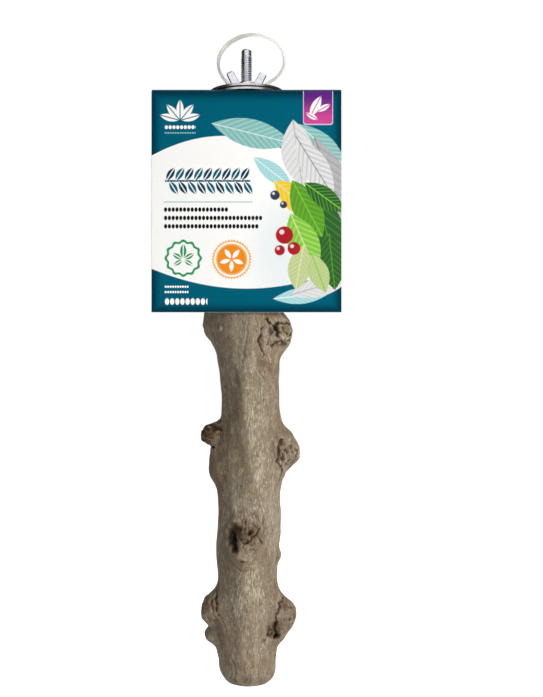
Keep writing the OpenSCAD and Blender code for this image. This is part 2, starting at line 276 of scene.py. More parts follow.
dark = Finish("dark_card")
dark.set(Base_Color=(0.02, 0.02, 0.02, 1), Roughness=1.0)
dark_cards = {
    "dark_roof_left": [(-0.62, -0.35, 0.42), (-0.03, -0.35, 0.62), (-0.03, 0.5, 0.62), (-0.62, 0.5, 0.42)]
}
for word, x in (("left", -CARD_DISTANCE), ("right", CARD_DISTANCE)):
    dark_cards["dark_side_" + word] = upright((x, CARD_FRONT), (x, CARD_CORNER))
    dark_cards["dark_rear_" + word] = upright((x, CARD_CORNER), (REAR_SHARE * x, CARD_REAR))
for name, corners in dark_cards.items():
    card = flat_panel(name, corners, dark.material)
    card.visible_camera = False
    card.visible_diffuse = False
    card.visible_shadow = False
    card.visible_transmission = False
print("dark cards:", sorted(dark_cards))

# %% Pale floor that keeps the shadow
FLOOR_DROP = 0.06
FLOOR_HALF = 3.0
FLOOR_GLOW = 0.86
floor_z = cad_box[0][2] - FLOOR_DROP
pale = Finish("pale_floor")
pale.set(Base_Color=(0.8, 0.8, 0.8, 1), Roughness=0.9, Emission_Color=(1, 1, 1, 1))
path = pale.tree.nodes.new("ShaderNodeLightPath").outputs
glow = pale.sum("MAXIMUM", path["Is Camera Ray"], path["Is Glossy Ray"])
pale.set(Emission_Strength=pale.sum("MULTIPLY", glow, FLOOR_GLOW))
floor_corners = [(x * FLOOR_HALF, y * FLOOR_HALF, floor_z) for x, y in ((-1, -1), (1, -1), (1, 1), (-1, 1))]
flat_panel("floor", floor_corners, pale.material)
print("floor height, mm:", round(floor_z / MM, 1))

# %% [markdown]
# ## From a grid of points to a mesh
# Every surface below is an array of rows of points in millimetres. A row runs once round the piece, so its
# last point joins its first. The two ends are closed with a fan to one point, or the last row joins the
# first in a ring. Faces could be added one by one, but array arithmetic lists all of them at once.


# %% Grid helper
def grid_faces(rows, columns, ring=False):
    """Quads between each row and the next, and between each column and the next with a wrap."""
    here = np.arange(rows if ring else rows - 1)[:, None] * columns
    below = (here + columns) % (rows * columns)
    j = np.arange(columns)[None, :]
    beside = (j + 1) % columns
    corners = (here + j, below + j, below + beside, here + beside)
    return np.stack(np.broadcast_arrays(*corners), -1).reshape(-1, 4)


def grid_piece(name, points, material, ring=False, flip=False, **attributes):
    """A closed mesh from rows of points in millimetres. Attributes are one value or vector per point.

    The point that closes an end is the mean of the end's row, and so is its value of each attribute.
    """
    rows, columns = points.shape[:2]
    vertices = points.reshape(-1, 3)
    faces = grid_faces(rows, columns, ring).tolist()
    if not ring:
        vertices = np.vstack([vertices, points[0].mean(0), points[-1].mean(0)])
        top, end = rows * columns, rows * columns + 1
        last = (rows - 1) * columns
        faces += [(top, j, (j + 1) % columns) for j in range(columns)]
        faces += [(end, last + (j + 1) % columns, last + j) for j in range(columns)]
    if flip:
        faces = [face[::-1] for face in faces]
    mesh = bpy.data.meshes.new(name)
    mesh.from_pydata((vertices * MM).tolist(), [], faces)
    mesh.polygons.foreach_set("use_smooth", np.ones(len(faces), bool))
    for key, value in attributes.items():
        flat = value.reshape(rows * columns, -1)
        if not ring:
            ends = [value[0].mean(0).reshape(-1), value[-1].mean(0).reshape(-1)]
            flat = np.vstack([flat] + ends)
        vector = flat.shape[1] == 3
        layer = mesh.attributes.new(key, "FLOAT_VECTOR" if vector else "FLOAT", "POINT")
        layer.data.foreach_set("vector" if vector else "value", flat.astype(np.float32).ravel())
    mesh.materials.append(material)
    piece = bpy.data.objects.new(name, mesh)
    scene.collection.objects.link(piece)
    print(name, "has", sum(len(face) - 2 for face in faces), "triangles")
    return piece


def unit(vectors):
    """Vectors divided by their own lengths."""
    return vectors / np.linalg.norm(vectors, axis=-1, keepdims=True)


# %% [markdown]
# ## Branch: the stem
# The wood is a stem of changing girth with knots in opposite pairs. It could be sculpted by hand, but a
# formula keeps it tied to the construction model. The stem's middle and half widths follow smooth curves
# through listed stations, and each knot adds a bump that fades as the exponential of minus a power
# of the distance from its centre. These are the construction model's own stations, so the two agree.

# %% Stem and knot tables
WOOD_LENGTH = 320.0
WOOD_RADIUS = 17.5
LOWER_BEVEL_LENGTH = 10.0
LOWER_BEVEL_DEPTH = 8.0
UPPER_BEVEL = 1.4
WOOD_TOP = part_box("branch")[1][2] / MM

# place along the length, then the middle's X and Y and the half widths, as shares of the radius
STEM_SHARES = np.array([
    [0.000, 0.00, 0.00, 1.02, 1.00],
    [0.063, 0.01, 0.01, 1.05, 1.02],
    [0.143, 0.02, 0.02, 0.98, 0.97],
    [0.223, -0.02, 0.03, 1.06, 1.02],
    [0.303, -0.02, 0.01, 1.06, 1.00],
    [0.372, -0.04, 0.00, 1.15, 1.07],
    [0.402, 0.03, 0.00, 1.13, 1.07],
    [0.442, 0.07, -0.01, 0.99, 0.99],
    [0.502, 0.13, -0.02, 0.90, 0.93],
    [0.552, 0.15, -0.02, 0.93, 0.93],
    [0.601, 0.14, 0.00, 1.08, 1.00],
    [0.631, 0.11, 0.02, 1.06, 1.01],
    [0.671, 0.08, 0.02, 0.98, 0.98],
    [0.721, 0.09, 0.02, 0.98, 1.00],
    [0.771, 0.04, 0.01, 0.98, 1.02],
    [0.821, 0.03, 0.00, 0.93, 0.95],
    [0.870, 0.05, 0.00, 1.10, 1.00],
    [0.900, 0.03, 0.01, 1.09, 1.01],
    [0.940, 0.00, 0.01, 0.95, 0.95],
    [0.970, 0.04, 0.00, 0.90, 0.90],
    [1.000, 0.05, 0.00, 0.88, 0.88],
])
# place, direction in degrees, then rise, half length and half width as shares, and the flank's power
KNOT_SHARES = np.array([
    [0.073, -86, 0.10, 0.55, 0.50, 1.3],
    [0.079, 91, 0.13, 0.50, 0.50, 1.4],
    [0.225, 4, 0.30, 0.46, 0.46, 1.5],
    [0.221, 183, 0.27, 0.50, 0.46, 1.5],
    [0.380, 176, 0.13, 0.60, 0.60, 1.2],
    [0.402, -32, 0.36, 0.62, 0.60, 1.6],
    [0.448, -49, 0.11, 0.36, 0.36, 1.4],
    [0.395, 139, 0.25, 0.50, 0.50, 1.5],
    [0.570, 181, 0.52, 0.36, 0.27, 2.2],
    [0.628, 181, 0.21, 0.60, 0.55, 1.5],
    [0.598, -10, 0.44, 0.66, 0.52, 1.5],
    [0.756, -101, 0.24, 0.58, 0.52, 1.6],
    [0.749, 82, 0.27, 0.52, 0.50, 1.5],
    [0.781, -8, 0.08, 0.20, 0.20, 1.3],
    [0.871, 187, 0.36, 0.52, 0.52, 1.5],
    [0.919, 182, 0.28, 0.26, 0.38, 1.5],
    [0.878, -13, 0.40, 0.50, 0.50, 1.5],
    [0.913, -22, 0.17, 0.30, 0.40, 1.4],
])


def smooth_table(table, place):
    """A cubic through the rows of a table whose slopes are those between each row's neighbours."""
    rows = np.arange(len(table))
    low, high = np.maximum(rows - 1, 0), np.minimum(rows + 1, len(table) - 1)
    slope = (table[high] - table[low]) / (table[high] - table[low])[:, :1]
    i = np.clip(np.searchsorted(table[:, 0], place) - 1, 0, len(table) - 2)
    span = (table[i + 1, 0] - table[i, 0])[:, None]
    t = ((place - table[i, 0]) / span[:, 0])[:, None]
    return (
        (2 * t**3 - 3 * t**2 + 1) * table[i]
        + (t**3 - 2 * t**2 + t) * span * slope[i]
        + (3 * t**2 - 2 * t**3) * table[i + 1]
        + (t**3 - t**2) * span * slope[i + 1]
    )


def wrapped(degrees):
    """An angle less the nearest whole number of turns, so it lies between -180 and 180."""
    return degrees - 360 * np.round(degrees / 360)


# %% Grid over the stem, finer at the knots
AROUND = 288
ALONG = 334
HIDDEN_LENGTH = 112.0
KNOT_REACH = 8.0
# rows for each millimetre, as shares: away from the knots, and what a knot adds
HIDDEN_ROWS, SEEN_ROWS = (0.5, 0.4), (1, 1.6)
knot_places = KNOT_SHARES[:, 0] * WOOD_LENGTH
steps = np.linspace(0, WOOD_LENGTH, 4001)
near = np.exp(-(((steps[:, None] - knot_places) / KNOT_REACH) ** 2)).max(1)
crowding = np.where(
    steps < HIDDEN_LENGTH,
    HIDDEN_ROWS[0] + HIDDEN_ROWS[1] * near,
    SEEN_ROWS[0] + SEEN_ROWS[1] * near,
)
running = np.concatenate([[0], np.cumsum((crowding[1:] + crowding[:-1]) / 2)])
distances = np.interp(np.linspace(0, running[-1], ALONG), running, steps)
angles = np.arange(AROUND) * 360.0 / AROUND
D, A = np.meshgrid(distances, angles, indexing="ij")
turn = np.radians(A)

# %% Stem with its knots
stem = smooth_table(STEM_SHARES, distances / WOOD_LENGTH) * WOOD_RADIUS
rise = np.zeros_like(D)
for place, direction, rise_share, length, width, power in KNOT_SHARES:
    along = (D / WOOD_LENGTH - place) * WOOD_LENGTH / WOOD_RADIUS / length
    round_it = np.radians(wrapped(A - direction)) / width
    rise += rise_share * WOOD_RADIUS * np.exp(-((along**2 + round_it**2) ** power))
low = np.clip((D - WOOD_LENGTH + LOWER_BEVEL_LENGTH) / LOWER_BEVEL_LENGTH, 0, 1)
high = np.clip((UPPER_BEVEL - D) / UPPER_BEVEL, 0, 1)
rise -= LOWER_BEVEL_DEPTH * (1 - np.sqrt(1 - low**2)) + UPPER_BEVEL * (1 - np.sqrt(1 - high**2))
skin = np.stack([
    stem[:, 1:2] + (stem[:, 3:4] + rise) * np.cos(turn),
    stem[:, 2:3] + (stem[:, 4:5] + rise) * np.sin(turn),
    WOOD_TOP - D,
], -1)
row_steps = np.diff(distances)
print("finest and widest step along the wood, mm:", row_steps.min().round(2), row_steps.max().round(2))

# %% [markdown]
# ## Branch: cracks, hollows and scars
# The knots carry the character: black hollows, cracks round a dead twig, healed lips and ring scars.
# They could be painted as bumps, but then the outline of a knot would stay smooth. So each is a small
# height pattern measured in millimetres on the unrolled skin: a groove or a ridge along a line of points,
# a pit or a mound with an elliptical outline, or a ring. They are summed into one height map, and the
# skin moves along its own normal by it. The same patterns also give a map of painted shade, which the
# finish uses, so a crack is dark exactly where it is deep; blots of dark dead wood join the same map.

# %% Height patterns
height = np.zeros_like(D)
# map of painted shade in cracks, pits and moats, and of the real dark of dead-wood stains
shade = np.zeros_like(D)
warmth = np.zeros_like(D)
bleach = np.zeros_like(D)
SKIN_RADIUS = 18.5
DEGREE = np.radians(1) * SKIN_RADIUS
print("a degree round the skin, mm:", round(DEGREE, 3))


def lumps(size, seed, terms=16):
    """Smooth random lumps: a sum of plane waves of random direction through the skin's own points."""
    generator = np.random.default_rng(seed)
    total = np.zeros_like(D)
    for _ in range(terms):
        way = unit(generator.normal(size=3)) * generator.uniform(0.7, 1.5) * 2 * np.pi / np.array(size)
        total += np.cos(skin @ way + generator.uniform(0, 2 * np.pi))
    return total / math.sqrt(terms / 2)


# every place on the skin wanders by this many millimetres, and a crack's width swells by this share
WANDER, SWELL = 0.24, 0.28
wander_x = WANDER * lumps((4.6, 4.6, 5.2), 91)
wander_y = WANDER * lumps((4.6, 4.6, 5.2), 92)
swell = np.clip(1 + SWELL * lumps((2.8, 2.8, 3.4), 93), 0.5, 1.6)
print("widest wander, mm:", np.hypot(wander_x, wander_y).max().round(2))


# %% Cracks and ridges: patterns along a line
def offsets(angle, distance):
    """Millimetres to the right and down from a place on the unrolled skin, with a small wander."""
    return wrapped(A - angle) * DEGREE + wander_x, D - distance + wander_y


def line_gap(points):
    """Distance in millimetres from every grid point to a line through places (angle, distance)."""
    gap = np.full_like(D, 1e9)
    for (a0, d0), (a1, d1) in zip(points[:-1], points[1:]):
        x, y = offsets(a0, d0)
        px, py = (a1 - a0) * DEGREE, d1 - d0
        t = np.clip((x * px + y * py) / (px**2 + py**2 + 1e-9), 0, 1)
        gap = np.minimum(gap, np.hypot(x - t * px, y - t * py))
    return gap


def groove(half_width, depth, points, darkness=1.0):
    """A crack: its depth falls off as a ridge's height does, over a half width that swells and shrinks, and
    its darkness is painted shade with the same fall-off.
    """
    global height, shade
    section = np.exp(-((line_gap(points) / swell / half_width) ** 2))
    height -= depth * section
    shade = np.maximum(shade, darkness * section)


def ridge(half_width, rise_height, points):
    """A raised line: its height is the exponential of minus the squared gap over its half width."""
    global height
    height += rise_height * np.exp(-((line_gap(points) / half_width) ** 2))


# %% Pits, mounds and rings: patterns with an oval outline
def oval(angle, distance, half_width, half_length, tilt=0.0):
    """Distance from a place in units of an ellipse's half axes, so the outline is at 1."""
    x, y = offsets(angle, distance)
    c, s = math.cos(math.radians(tilt)), math.sin(math.radians(tilt))
    return np.hypot((x * c + y * s) / half_width, (y * c - x * s) / half_length)


def pit(angle, distance, half_width, half_length, depth, darkness=1.0, tilt=0.0):
    """A hollow with steep walls: the exponential of minus the fourth power of the oval's distance; its
    darkness is painted shade.
    """
    global height, shade
    hole = np.exp(-(oval(angle, distance, half_width, half_length, tilt) ** 4))
    height -= depth * hole
    shade = np.maximum(shade, darkness * hole)


def mound(angle, distance, half_width, half_length, rise_height, warm=0.0, tilt=0.0):
    """A swelling: the exponential of minus the third power of the oval's distance."""
    global height, warmth
    hill = np.exp(-(oval(angle, distance, half_width, half_length, tilt) ** 3))
    height += rise_height * hill
    warmth = np.maximum(warmth, warm * hill)


def ring(angle, distance, half_width, half_length, thickness, rise_height, darkness=0.0):
    """A lip, or with a negative rise a moat, along an ellipse; its darkness is painted shade in the moat.
    """
    global height, shade
    gap = (oval(angle, distance, half_width, half_length) - 1) * (half_width + half_length) / 2
    section = np.exp(-((gap / swell / thickness) ** 2))
    height += rise_height * section
    shade = np.maximum(shade, darkness * section)


# %% Patches of rough, dead or rubbed wood
def rough_patch(angle, distance, half_width, half_length, amount, size, seed):
    """Lumps inside an ellipse, with painted shade, dark and brown, where they dip."""
    global height, shade, warmth
    mask = np.exp(-(oval(angle, distance, half_width, half_length) ** 4))
    bumps = lumps((size, size, size * 1.3), seed)
    height += amount * bumps * mask
    dips = mask * np.clip(-bumps - 0.4, 0, 1)
    shade = np.maximum(shade, 0.5 * dips)
    warmth = np.maximum(warmth, 0.5 * dips)


def stain(angle, distance, half_width, half_length, darkness, seed):
    """Dark dead wood in irregular blots inside an ellipse."""
    global shade, warmth
    mask = np.exp(-(oval(angle, distance, half_width, half_length) ** 4))
    blots = np.clip(0.6 + 0.4 * lumps((1.9, 1.9, 2.6), seed), 0, 1)
    shade = np.maximum(shade, darkness * mask * blots)
    warmth = np.maximum(warmth, mask)


def pale_place(angle, distance, half_width, half_length, amount):
    """A place where the wood's outer fibres are rubbed pale."""
    global bleach
    bleach = np.maximum(bleach, amount * np.exp(-(oval(angle, distance, half_width, half_length) ** 2)))


# %% Long form of the stem: flutes, ridges and fibres
height += 0.22 * lumps((18, 18, 70), 3) + 0.05 * lumps((7, 7, 30), 4) + 0.008 * lumps((2.4, 2.4, 12), 5)
height += 0.12 * lumps((9, 9, 16), 6) + 0.006 * lumps((3.2, 3.2, 9.0), 7)
ridge(4.4, 1.1, [(-84, 120.7), (-88, 137.7), (-98, 152.6)])
ridge(5.2, 1.30, [(-99, 154.6), (-106, 166.6), (-101, 182.5), (-90, 196.4), (-92, 212.4)])
ridge(4.8, 1.6, [(-97, 262.2), (-99, 275.2), (-96, 290.1), (-94, 304.1)])
ridge(3.0, 0.5, [(60, 31), (66, 90.8), (75, 150.6), (70, 210.4), (62, 290.1)])
ridge(3.5, 0.5, [(140, 21.1), (132, 100.8), (125, 170.5), (133, 240.3), (128, 300.1)])
for rubbed_place in (
    (-88, 176, 4.5, 15, 1.0), (-74, 170, 3.0, 12, 0.8), (-160, 185, 2.6, 3.6, 1.0),
    (-80, 205, 5.0, 9, 0.7), (-98, 222, 6.0, 9, 0.8), (-84, 262, 6.0, 14, 0.9),
    (-104, 268, 3.0, 16, 0.8), (-92, 290, 3.5, 14, 0.8), (-28, 280.5, 5.0, 6.5, 0.8),
    (-38, 128.5, 4.5, 3.5, 0.7),
):
    pale_place(*rubbed_place)
print("long form of the skin, mm:", height.min().round(2), "to", height.max().round(2))

# %% Front-right burl and the healed bump under it
rough_patch(-40, 128.7, 10, 8.5, 0.28, 3.2, 11)
mound(-42, 129.3, 4.6, 3.4, 1.0)
pit(-16, 128.5, 4.0, 5.0, 0.8, 0.0)
mound(-66, 132.6, 1.9, 4.8, 1.0, 0.15)
mound(-50, 143.0, 6.0, 5.5, 1.0, 0.35)
upper_lip = [(-60, 121.6), (-55, 124.1), (-50, 124.9), (-45, 122.6), (-39, 123.4), (-24, 123.4)]
groove(0.62, 1.6, upper_lip, 0.92)
groove(0.85, 1.8, [(-53, 124.3), (-49.5, 127.3), (-50, 130.4)], 0.88)
# painted shade in a shallow hollow left of the burl's middle
pit(-54.5, 127.6, 2.4, 2.8, 1.2, 0.42, 20)
pit(-51.5, 125.6, 1.5, 1.4, 1.0, 1.0)
groove(0.42, 0.45, [(-46, 125.0), (-38, 125.2), (-28, 124.6)], 0.34)
groove(0.42, 0.40, [(-46, 126.3), (-38, 127.0), (-29, 126.6)], 0.28)
groove(0.42, 0.35, [(-45, 127.8), (-40, 128.8), (-33, 128.9)], 0.24)
lower_lip = [(-54, 135.2), (-48, 133.6), (-42, 133.3), (-35, 134.2), (-26, 132.9), (-17, 131.2)]
groove(0.58, 1.6, lower_lip, 0.90)
# painted shade under the burl's overhanging lower lip, over a shallow dip
pit(-35, 135.2, 4.2, 1.1, 0.8, 0.50)
pit(-26, 129.6, 0.8, 1.0, 0.8, 1.0)
left_crack = [(-66, 125.2), (-70, 127.3), (-73.5, 130.5), (-74, 133.8), (-70, 136.8), (-66.5, 140.3)]
groove(0.48, 0.8, left_crack, 0.55)
groove(0.45, 0.5, [(-62, 127.0), (-61, 131), (-61.5, 135.5)], 0.36)
groove(0.45, 0.5, [(-72, 148.6), (-68, 151.0), (-63, 152.4)], 0.42)
groove(0.42, 0.4, [(-60, 140.5), (-55, 147.5), (-48, 149.5)], 0.25)
mound(-134, 126.2, 1.4, 1.5, 0.8)
ring(-134, 126.2, 2.0, 2.2, 0.45, -0.25, 0.35)
groove(0.55, 0.35, [(-87, 121.7), (-92, 131.7), (-98, 139.6), (-104, 147.6)], 0.30)
print("deepest so far, mm:", height.min().round(2))

# %% Broken twig stub on the left
rough_patch(-170, 182, 4.4, 5.6, 0.34, 2.4, 21)
mound(-171, 180.1, 3.2, 3.2, -0.9, 0.9)
pit(-177, 176.6, 3.4, 1.9, 1.3, 0.0)
mound(178, 190.6, 6.0, 3.2, 1.3)
mound(-175, 185.4, 4.2, 3.8, 1.1, 0.8)
stain(-174, 183.0, 3.7, 5.4, 0.90, 22)
stain(-174, 183.4, 3.4, 5.2, 0.72, 23)
groove(0.8, 0.4, [(-172, 178.0), (-165, 179.6), (-163, 182.2)], 0.86)
groove(0.85, 1.0, [(-181, 187.5), (-177, 190.4), (-169, 191.2)], 0.85)
groove(0.45, 0.15, [(-176, 179.4), (-173, 182.4), (-174, 186.0)], 0.85)
groove(0.45, 0.4, [(-160, 181.5), (-157, 185.5), (-159, 189.5)], 0.32)
groove(0.45, 0.4, [(-154, 183.0), (-151, 187.5)], 0.28)
mound(-158, 205.4, 5.5, 8.5, 0.5, 0.25)
print("deepest so far, mm:", height.min().round(2))

# %% Right knot with its healed face and a second lobe
rough_patch(-33, 193.5, 6.0, 7.2, 0.34, 2.4, 31)
ridge(0.9, 0.5, [(-38, 184.3), (-46.5, 187.3), (-50.5, 192), (-49.5, 197.5)])
healed_edge = [
    (-34, 185.2), (-41, 187.1), (-45.5, 190.3), (-46.5, 194.7),
    (-42, 198.6), (-31, 202.1), (-24, 204),
]
groove(0.42, 0.9, healed_edge, 0.62)
groove(0.42, 0.7, [(-38, 186.9), (-42, 189.5), (-43.5, 193), (-41, 196.8)], 0.62)
groove(0.42, 0.6, [(-38.5, 191.2), (-35, 192.3), (-35.5, 194.2)], 0.62)
groove(0.42, 0.5, [(-33, 188.4), (-28, 190.4), (-26.5, 193.4)], 0.42)
pit(-36, 196.6, 0.7, 0.7, 0.5, 0.6)
pit(-29, 197.2, 0.8, 0.6, 0.5, 0.55)
pit(-31, 189.2, 0.6, 0.6, 0.4, 0.5)
pit(-6, 187.0, 6.0, 4.2, 0.8, 0.0)
mound(-10, 195.6, 2.8, 3.2, 0.6, 0.2)
groove(0.50, 1.0, [(-18.5, 191.2), (-20.5, 195.3), (-17.5, 199.2), (-12, 200.8)], 0.68)
groove(0.42, 0.4, [(-27, 203.4), (-24, 205.4), (-25, 208.4)], 0.4)
mound(-14, 207, 2.4, 2.0, 0.9)
print("deepest so far, mm:", height.min().round(2))

# %% Front knot: the hollow beside a dead centre
rough_patch(-97, 237, 9.0, 8.0, 0.30, 2.4, 41)
collar = [
    (-135, 235), (-127, 231), (-113, 227.4), (-98, 226.2),
    (-83, 227.8), (-73, 232.3), (-66, 237), (-68, 241),
]
ridge(1.1, 1.0, collar)
ridge(0.9, 0.6, [(-68, 241), (-79, 244.2), (-91, 244.8)])
stain(-114, 233.0, 5.4, 3.4, 0.80, 42)
stain(-104, 235.6, 5.0, 4.4, 0.60, 44)
stain(-86, 234.6, 3.6, 3.4, 0.45, 43)
mound(-97, 236.5, 9.6, 8.4, 0.0, 0.42)
# deep pits, black with painted shade
pit(-119, 238.4, 3.5, 4.6, 3.6, 1.0, -14)
pit(-112.5, 242.8, 2.8, 3.1, 2.8, 1.0, -20)
pit(-122, 235.2, 3.0, 2.8, 2.0, 1.0)
pit(-112, 232.6, 3.2, 1.5, 1.3, 0.72, 8)
pit(-88, 234.3, 1.0, 1.4, 2.4, 1.0)
groove(0.48, 0.9, [(-104, 233.0), (-105, 236.4), (-101, 239.6), (-94, 240.2)], 0.62)
groove(0.50, 1.2, [(-94, 240.2), (-86, 237.8), (-78, 235.4), (-72, 232.6)], 0.85)
groove(0.45, 0.8, [(-78, 235.4), (-72, 237.6), (-69, 241.0)], 0.60)
groove(0.45, 0.6, [(-99, 229.6), (-91, 230.6), (-84, 230.2), (-78, 232.2)], 0.50)
groove(0.45, 0.5, [(-70, 240.4), (-77, 243.0), (-87, 243.6)], 0.40)
groove(0.45, 0.6, [(-67, 228.0), (-63.5, 232.0), (-65, 238.0)], 0.52)
groove(0.42, 0.4, [(-61, 236.5), (-60, 242.0)], 0.30)
mound(-96, 235.4, 2.8, 2.6, 0.9, 0.2)
mound(-83, 240.6, 4.0, 2.2, 0.7)
mound(-101, 246, 2.2, 3.6, 0.5, 0.1)
pit(-92, 232.4, 0.6, 0.5, 0.4, 0.5)
pit(-97, 238.0, 0.6, 0.5, 0.4, 0.5)
pit(-99, 249.5, 1.5, 0.8, 0.5, 0.62)
mound(-95, 251.7, 3.6, 2.4, 0.2, 0.6)
ridge(0.6, 0.3, [(-121, 248.8), (-110, 252.6), (-98, 254.0), (-84, 252.6)])
groove(0.42, 0.3, [(-120, 250.4), (-110, 254.1), (-98, 255.4), (-84, 254.2)], 0.26)
groove(0.42, 0.4, [(-55, 243.3), (-53, 249.3)], 0.35)
mound(-34, 246.8, 2.0, 2.6, 0.7)
mound(-18, 249.8, 1.8, 3.0, 0.8, 0.4)
groove(0.42, 0.5, [(-24, 244.3), (-23, 250.3), (-26, 256.2)], 0.5)
print("deepest so far, mm:", height.min().round(2))

# %% Lower pair of knots
rough_patch(-164, 278.2, 8, 9, 0.30, 4.2, 51)
groove(0.40, 1.0, [(-158, 268.2), (-152, 271.4), (-146.5, 274.6), (-142, 278.4)], 0.74)
groove(0.38, 0.7, [(-155, 272.9), (-151, 275.4), (-147.5, 278.0)], 0.66)
mound(-156, 274.6, 3.2, 3.6, 0.1, 0.7)
groove(0.42, 0.35, [(-140, 279.6), (-132, 284.1), (-127, 289.1)], 0.26)
rough_patch(-28, 281.1, 6, 7.5, 0.24, 2.8, 61)
mound(-28, 280.5, 5.2, 6.5, 0.8, 0.05)
groove(0.50, 1.1, [(-19, 272.3), (-31, 273.2), (-41, 277.1), (-45.5, 281.9), (-43.5, 286)], 0.62)
groove(0.58, 1.9, [(-44, 284.4), (-42, 288.0), (-39, 291.4)], 0.88)
# a pit and a moat, dark with painted shade
pit(-38.5, 291.8, 1.6, 1.5, 1.5, 1.0)
ring(-51.5, 289.2, 1.35, 1.5, 0.5, -0.45, 0.85)
stain(-46, 287.8, 4.6, 4.6, 0.60, 62)
mound(-50, 288.5, 6.0, 5.0, 0.0, 0.5)
stain(-60, 293, 1.7, 1.5, 0.45, 63)
stain(-21, 281, 1.4, 2.6, 0.30, 64)
stain(-33, 276, 2.2, 1.2, 0.30, 65)
groove(0.6, 0.4, [(-117, 303.1), (-115, 309), (-117, 316)], 0.35)
print("height at the knots that show, mm:", height.min().round(2), "to", height.max().round(2))


# %% Knots on the sides and the back, seen from elsewhere
def hidden_knot(angle, distance, radius, seed):
    """A common healed knot: a lip, a moat, a pit off its middle and four cracks that leave it; the moat,
    the pit and the cracks carry painted shade.
    """
    generator = np.random.default_rng(seed)
    rough_patch(angle, distance, radius, radius * 1.1, 0.28, 2.8, seed)
    ring(angle, distance, radius, radius * 1.15, 0.9, 0.6)
    ring(angle, distance, radius * 0.72, radius * 0.85, 0.45, -0.7, 0.7)
    x, y = generator.uniform(-0.2, 0.2, 2) * radius
    pit(angle + x / DEGREE, distance + y, radius * 0.26, radius * 0.34, 1.4, 0.95, generator.uniform(0, 60))
    for way in generator.uniform(0, 360, 4):
        x, y = math.cos(way) * radius, math.sin(way) * radius
        groove(0.45, 0.6, [(angle + x * r / DEGREE, distance + y * r) for r in (0.25, 0.7)], 0.7)
    mound(angle, distance, radius * 0.6, radius * 0.7, 0.5, 0.4)


for angle, share, radius, seed in (
    (91, 0.079, 6.5, 71), (4, 0.225, 6.5, 72), (183, 0.221, 6.5, 73),
    (139, 0.395, 7.0, 74), (82, 0.749, 7.5, 75), (-86, 0.073, 6.0, 76),
):
    hidden_knot(angle, share * WOOD_LENGTH, radius, seed)
print("deepest hollow and highest lump, mm:", height.min().round(2), height.max().round(2))

# %% [markdown]
# ## Branch: from height map to mesh
# A displacement modifier could move the skin, but the maps are here already and arrays can do it exactly.
# The normal at each point is the cross product of the differences along and around. The height fades
# out over the sawn ends, and a lump that would stand outside the construction model's box is held at it.
# For the finish, the fibres of the wood run round each knot as water runs round a stone, so the grain's
# sideways coordinate is bent by the flow past a round obstacle.

# %% Move the skin and measure its hollows
END_FADE, TOP_FADE = 6.0, 3.0
END_SHARE = 0.25
BOX_PLAY = 0.3
RECESS_DEPTH = 0.35
side = np.roll(skin, -1, 1) - np.roll(skin, 1, 1)
down = np.gradient(skin, axis=0)
normals = unit(np.cross(down, side))
fade = np.clip((WOOD_LENGTH - D) / END_FADE, 0, 1) * np.clip(D / TOP_FADE, 0, 1)
skin = skin + normals * (height * (END_SHARE + (1 - END_SHARE) * fade))[..., None]
box_low, box_high = (np.array(corner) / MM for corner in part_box("branch"))
skin = np.clip(skin, box_low - BOX_PLAY, box_high + BOX_PLAY)
skin[..., 2] = np.clip(skin[..., 2], box_low[2], box_high[2])

BLUR_PASSES = 10
blurred = height.copy()
for _ in range(BLUR_PASSES):
    blurred = (np.roll(blurred, 1, 1) + np.roll(blurred, -1, 1) + 2 * blurred) / 4
    blurred[1:-1] = (blurred[2:] + blurred[:-2] + 2 * blurred[1:-1]) / 4
# how far the skin lies below its blurred self: the finish darkens it as painted shade in the hollows
recess = np.clip((blurred - height) / RECESS_DEPTH, 0, 1)
print("share of the skin in hollows:", recess.mean().round(3))

# %% Halo of each knot, and fibre directions that part round the high ones
HALO_SIZE = 1.35 * WOOD_RADIUS
FULL_HALO_RISE = 0.25
OBSTACLE_RISE = 0.2
OBSTACLE_SIZE = 0.75 * WOOD_RADIUS
halo = np.zeros_like(D)
flow = A * DEGREE
for place, direction, rise_share, length, width in KNOT_SHARES[:, :5]:
    reach = oval(direction, place * WOOD_LENGTH, HALO_SIZE * width, HALO_SIZE * length)
    halo = np.maximum(halo, min(1.0, rise_share / FULL_HALO_RISE) * np.exp(-(reach**2)))
    if rise_share >= OBSTACLE_RISE:
        x, y = offsets(direction, place * WOOD_LENGTH)
        radius = OBSTACLE_SIZE * width
        flow = flow - x * radius**2 / (x**2 + (y * 0.8) ** 2 + 0.6 * radius**2)
bent = flow / SKIN_RADIUS
grain = np.stack([SKIN_RADIUS * np.cos(bent), SKIN_RADIUS * np.sin(bent), D], -1)
print("widest sideways bend of the fibres, mm:", np.abs(flow - A * DEGREE).max().round(1))

# %% Close the sawn ends with rings
CAP_RINGS = 6
SMALLEST_RING = 0.06
LOWER_END_DISH = 0.15


def cap_rows(edge, dish):
    """Rings that shrink from the edge towards its mean point and rise by the dish on the way."""
    middle = edge.mean(0)
    shares = np.linspace(1, SMALLEST_RING, CAP_RINGS + 1)[1:, None, None]
    rows = middle + (edge[None] - middle) * shares
    rows[..., 2] = edge[None, :, 2] + dish * (1 - shares[..., 0])
    return rows


def with_ends(values):
    """A map of the skin with its first and last row repeated over the rings of the sawn ends."""
    first, last = (np.repeat(row, CAP_RINGS, 0) for row in (values[:1], values[-1:]))
    return np.concatenate([first, values, last])


points = np.concatenate([cap_rows(skin[0], 0.0)[::-1], skin, cap_rows(skin[-1], LOWER_END_DISH)])
sawn = np.ones(points.shape[:2])
sawn[CAP_RINGS:-CAP_RINGS] = 0
print("rows and columns of the branch:", points.shape[:2])

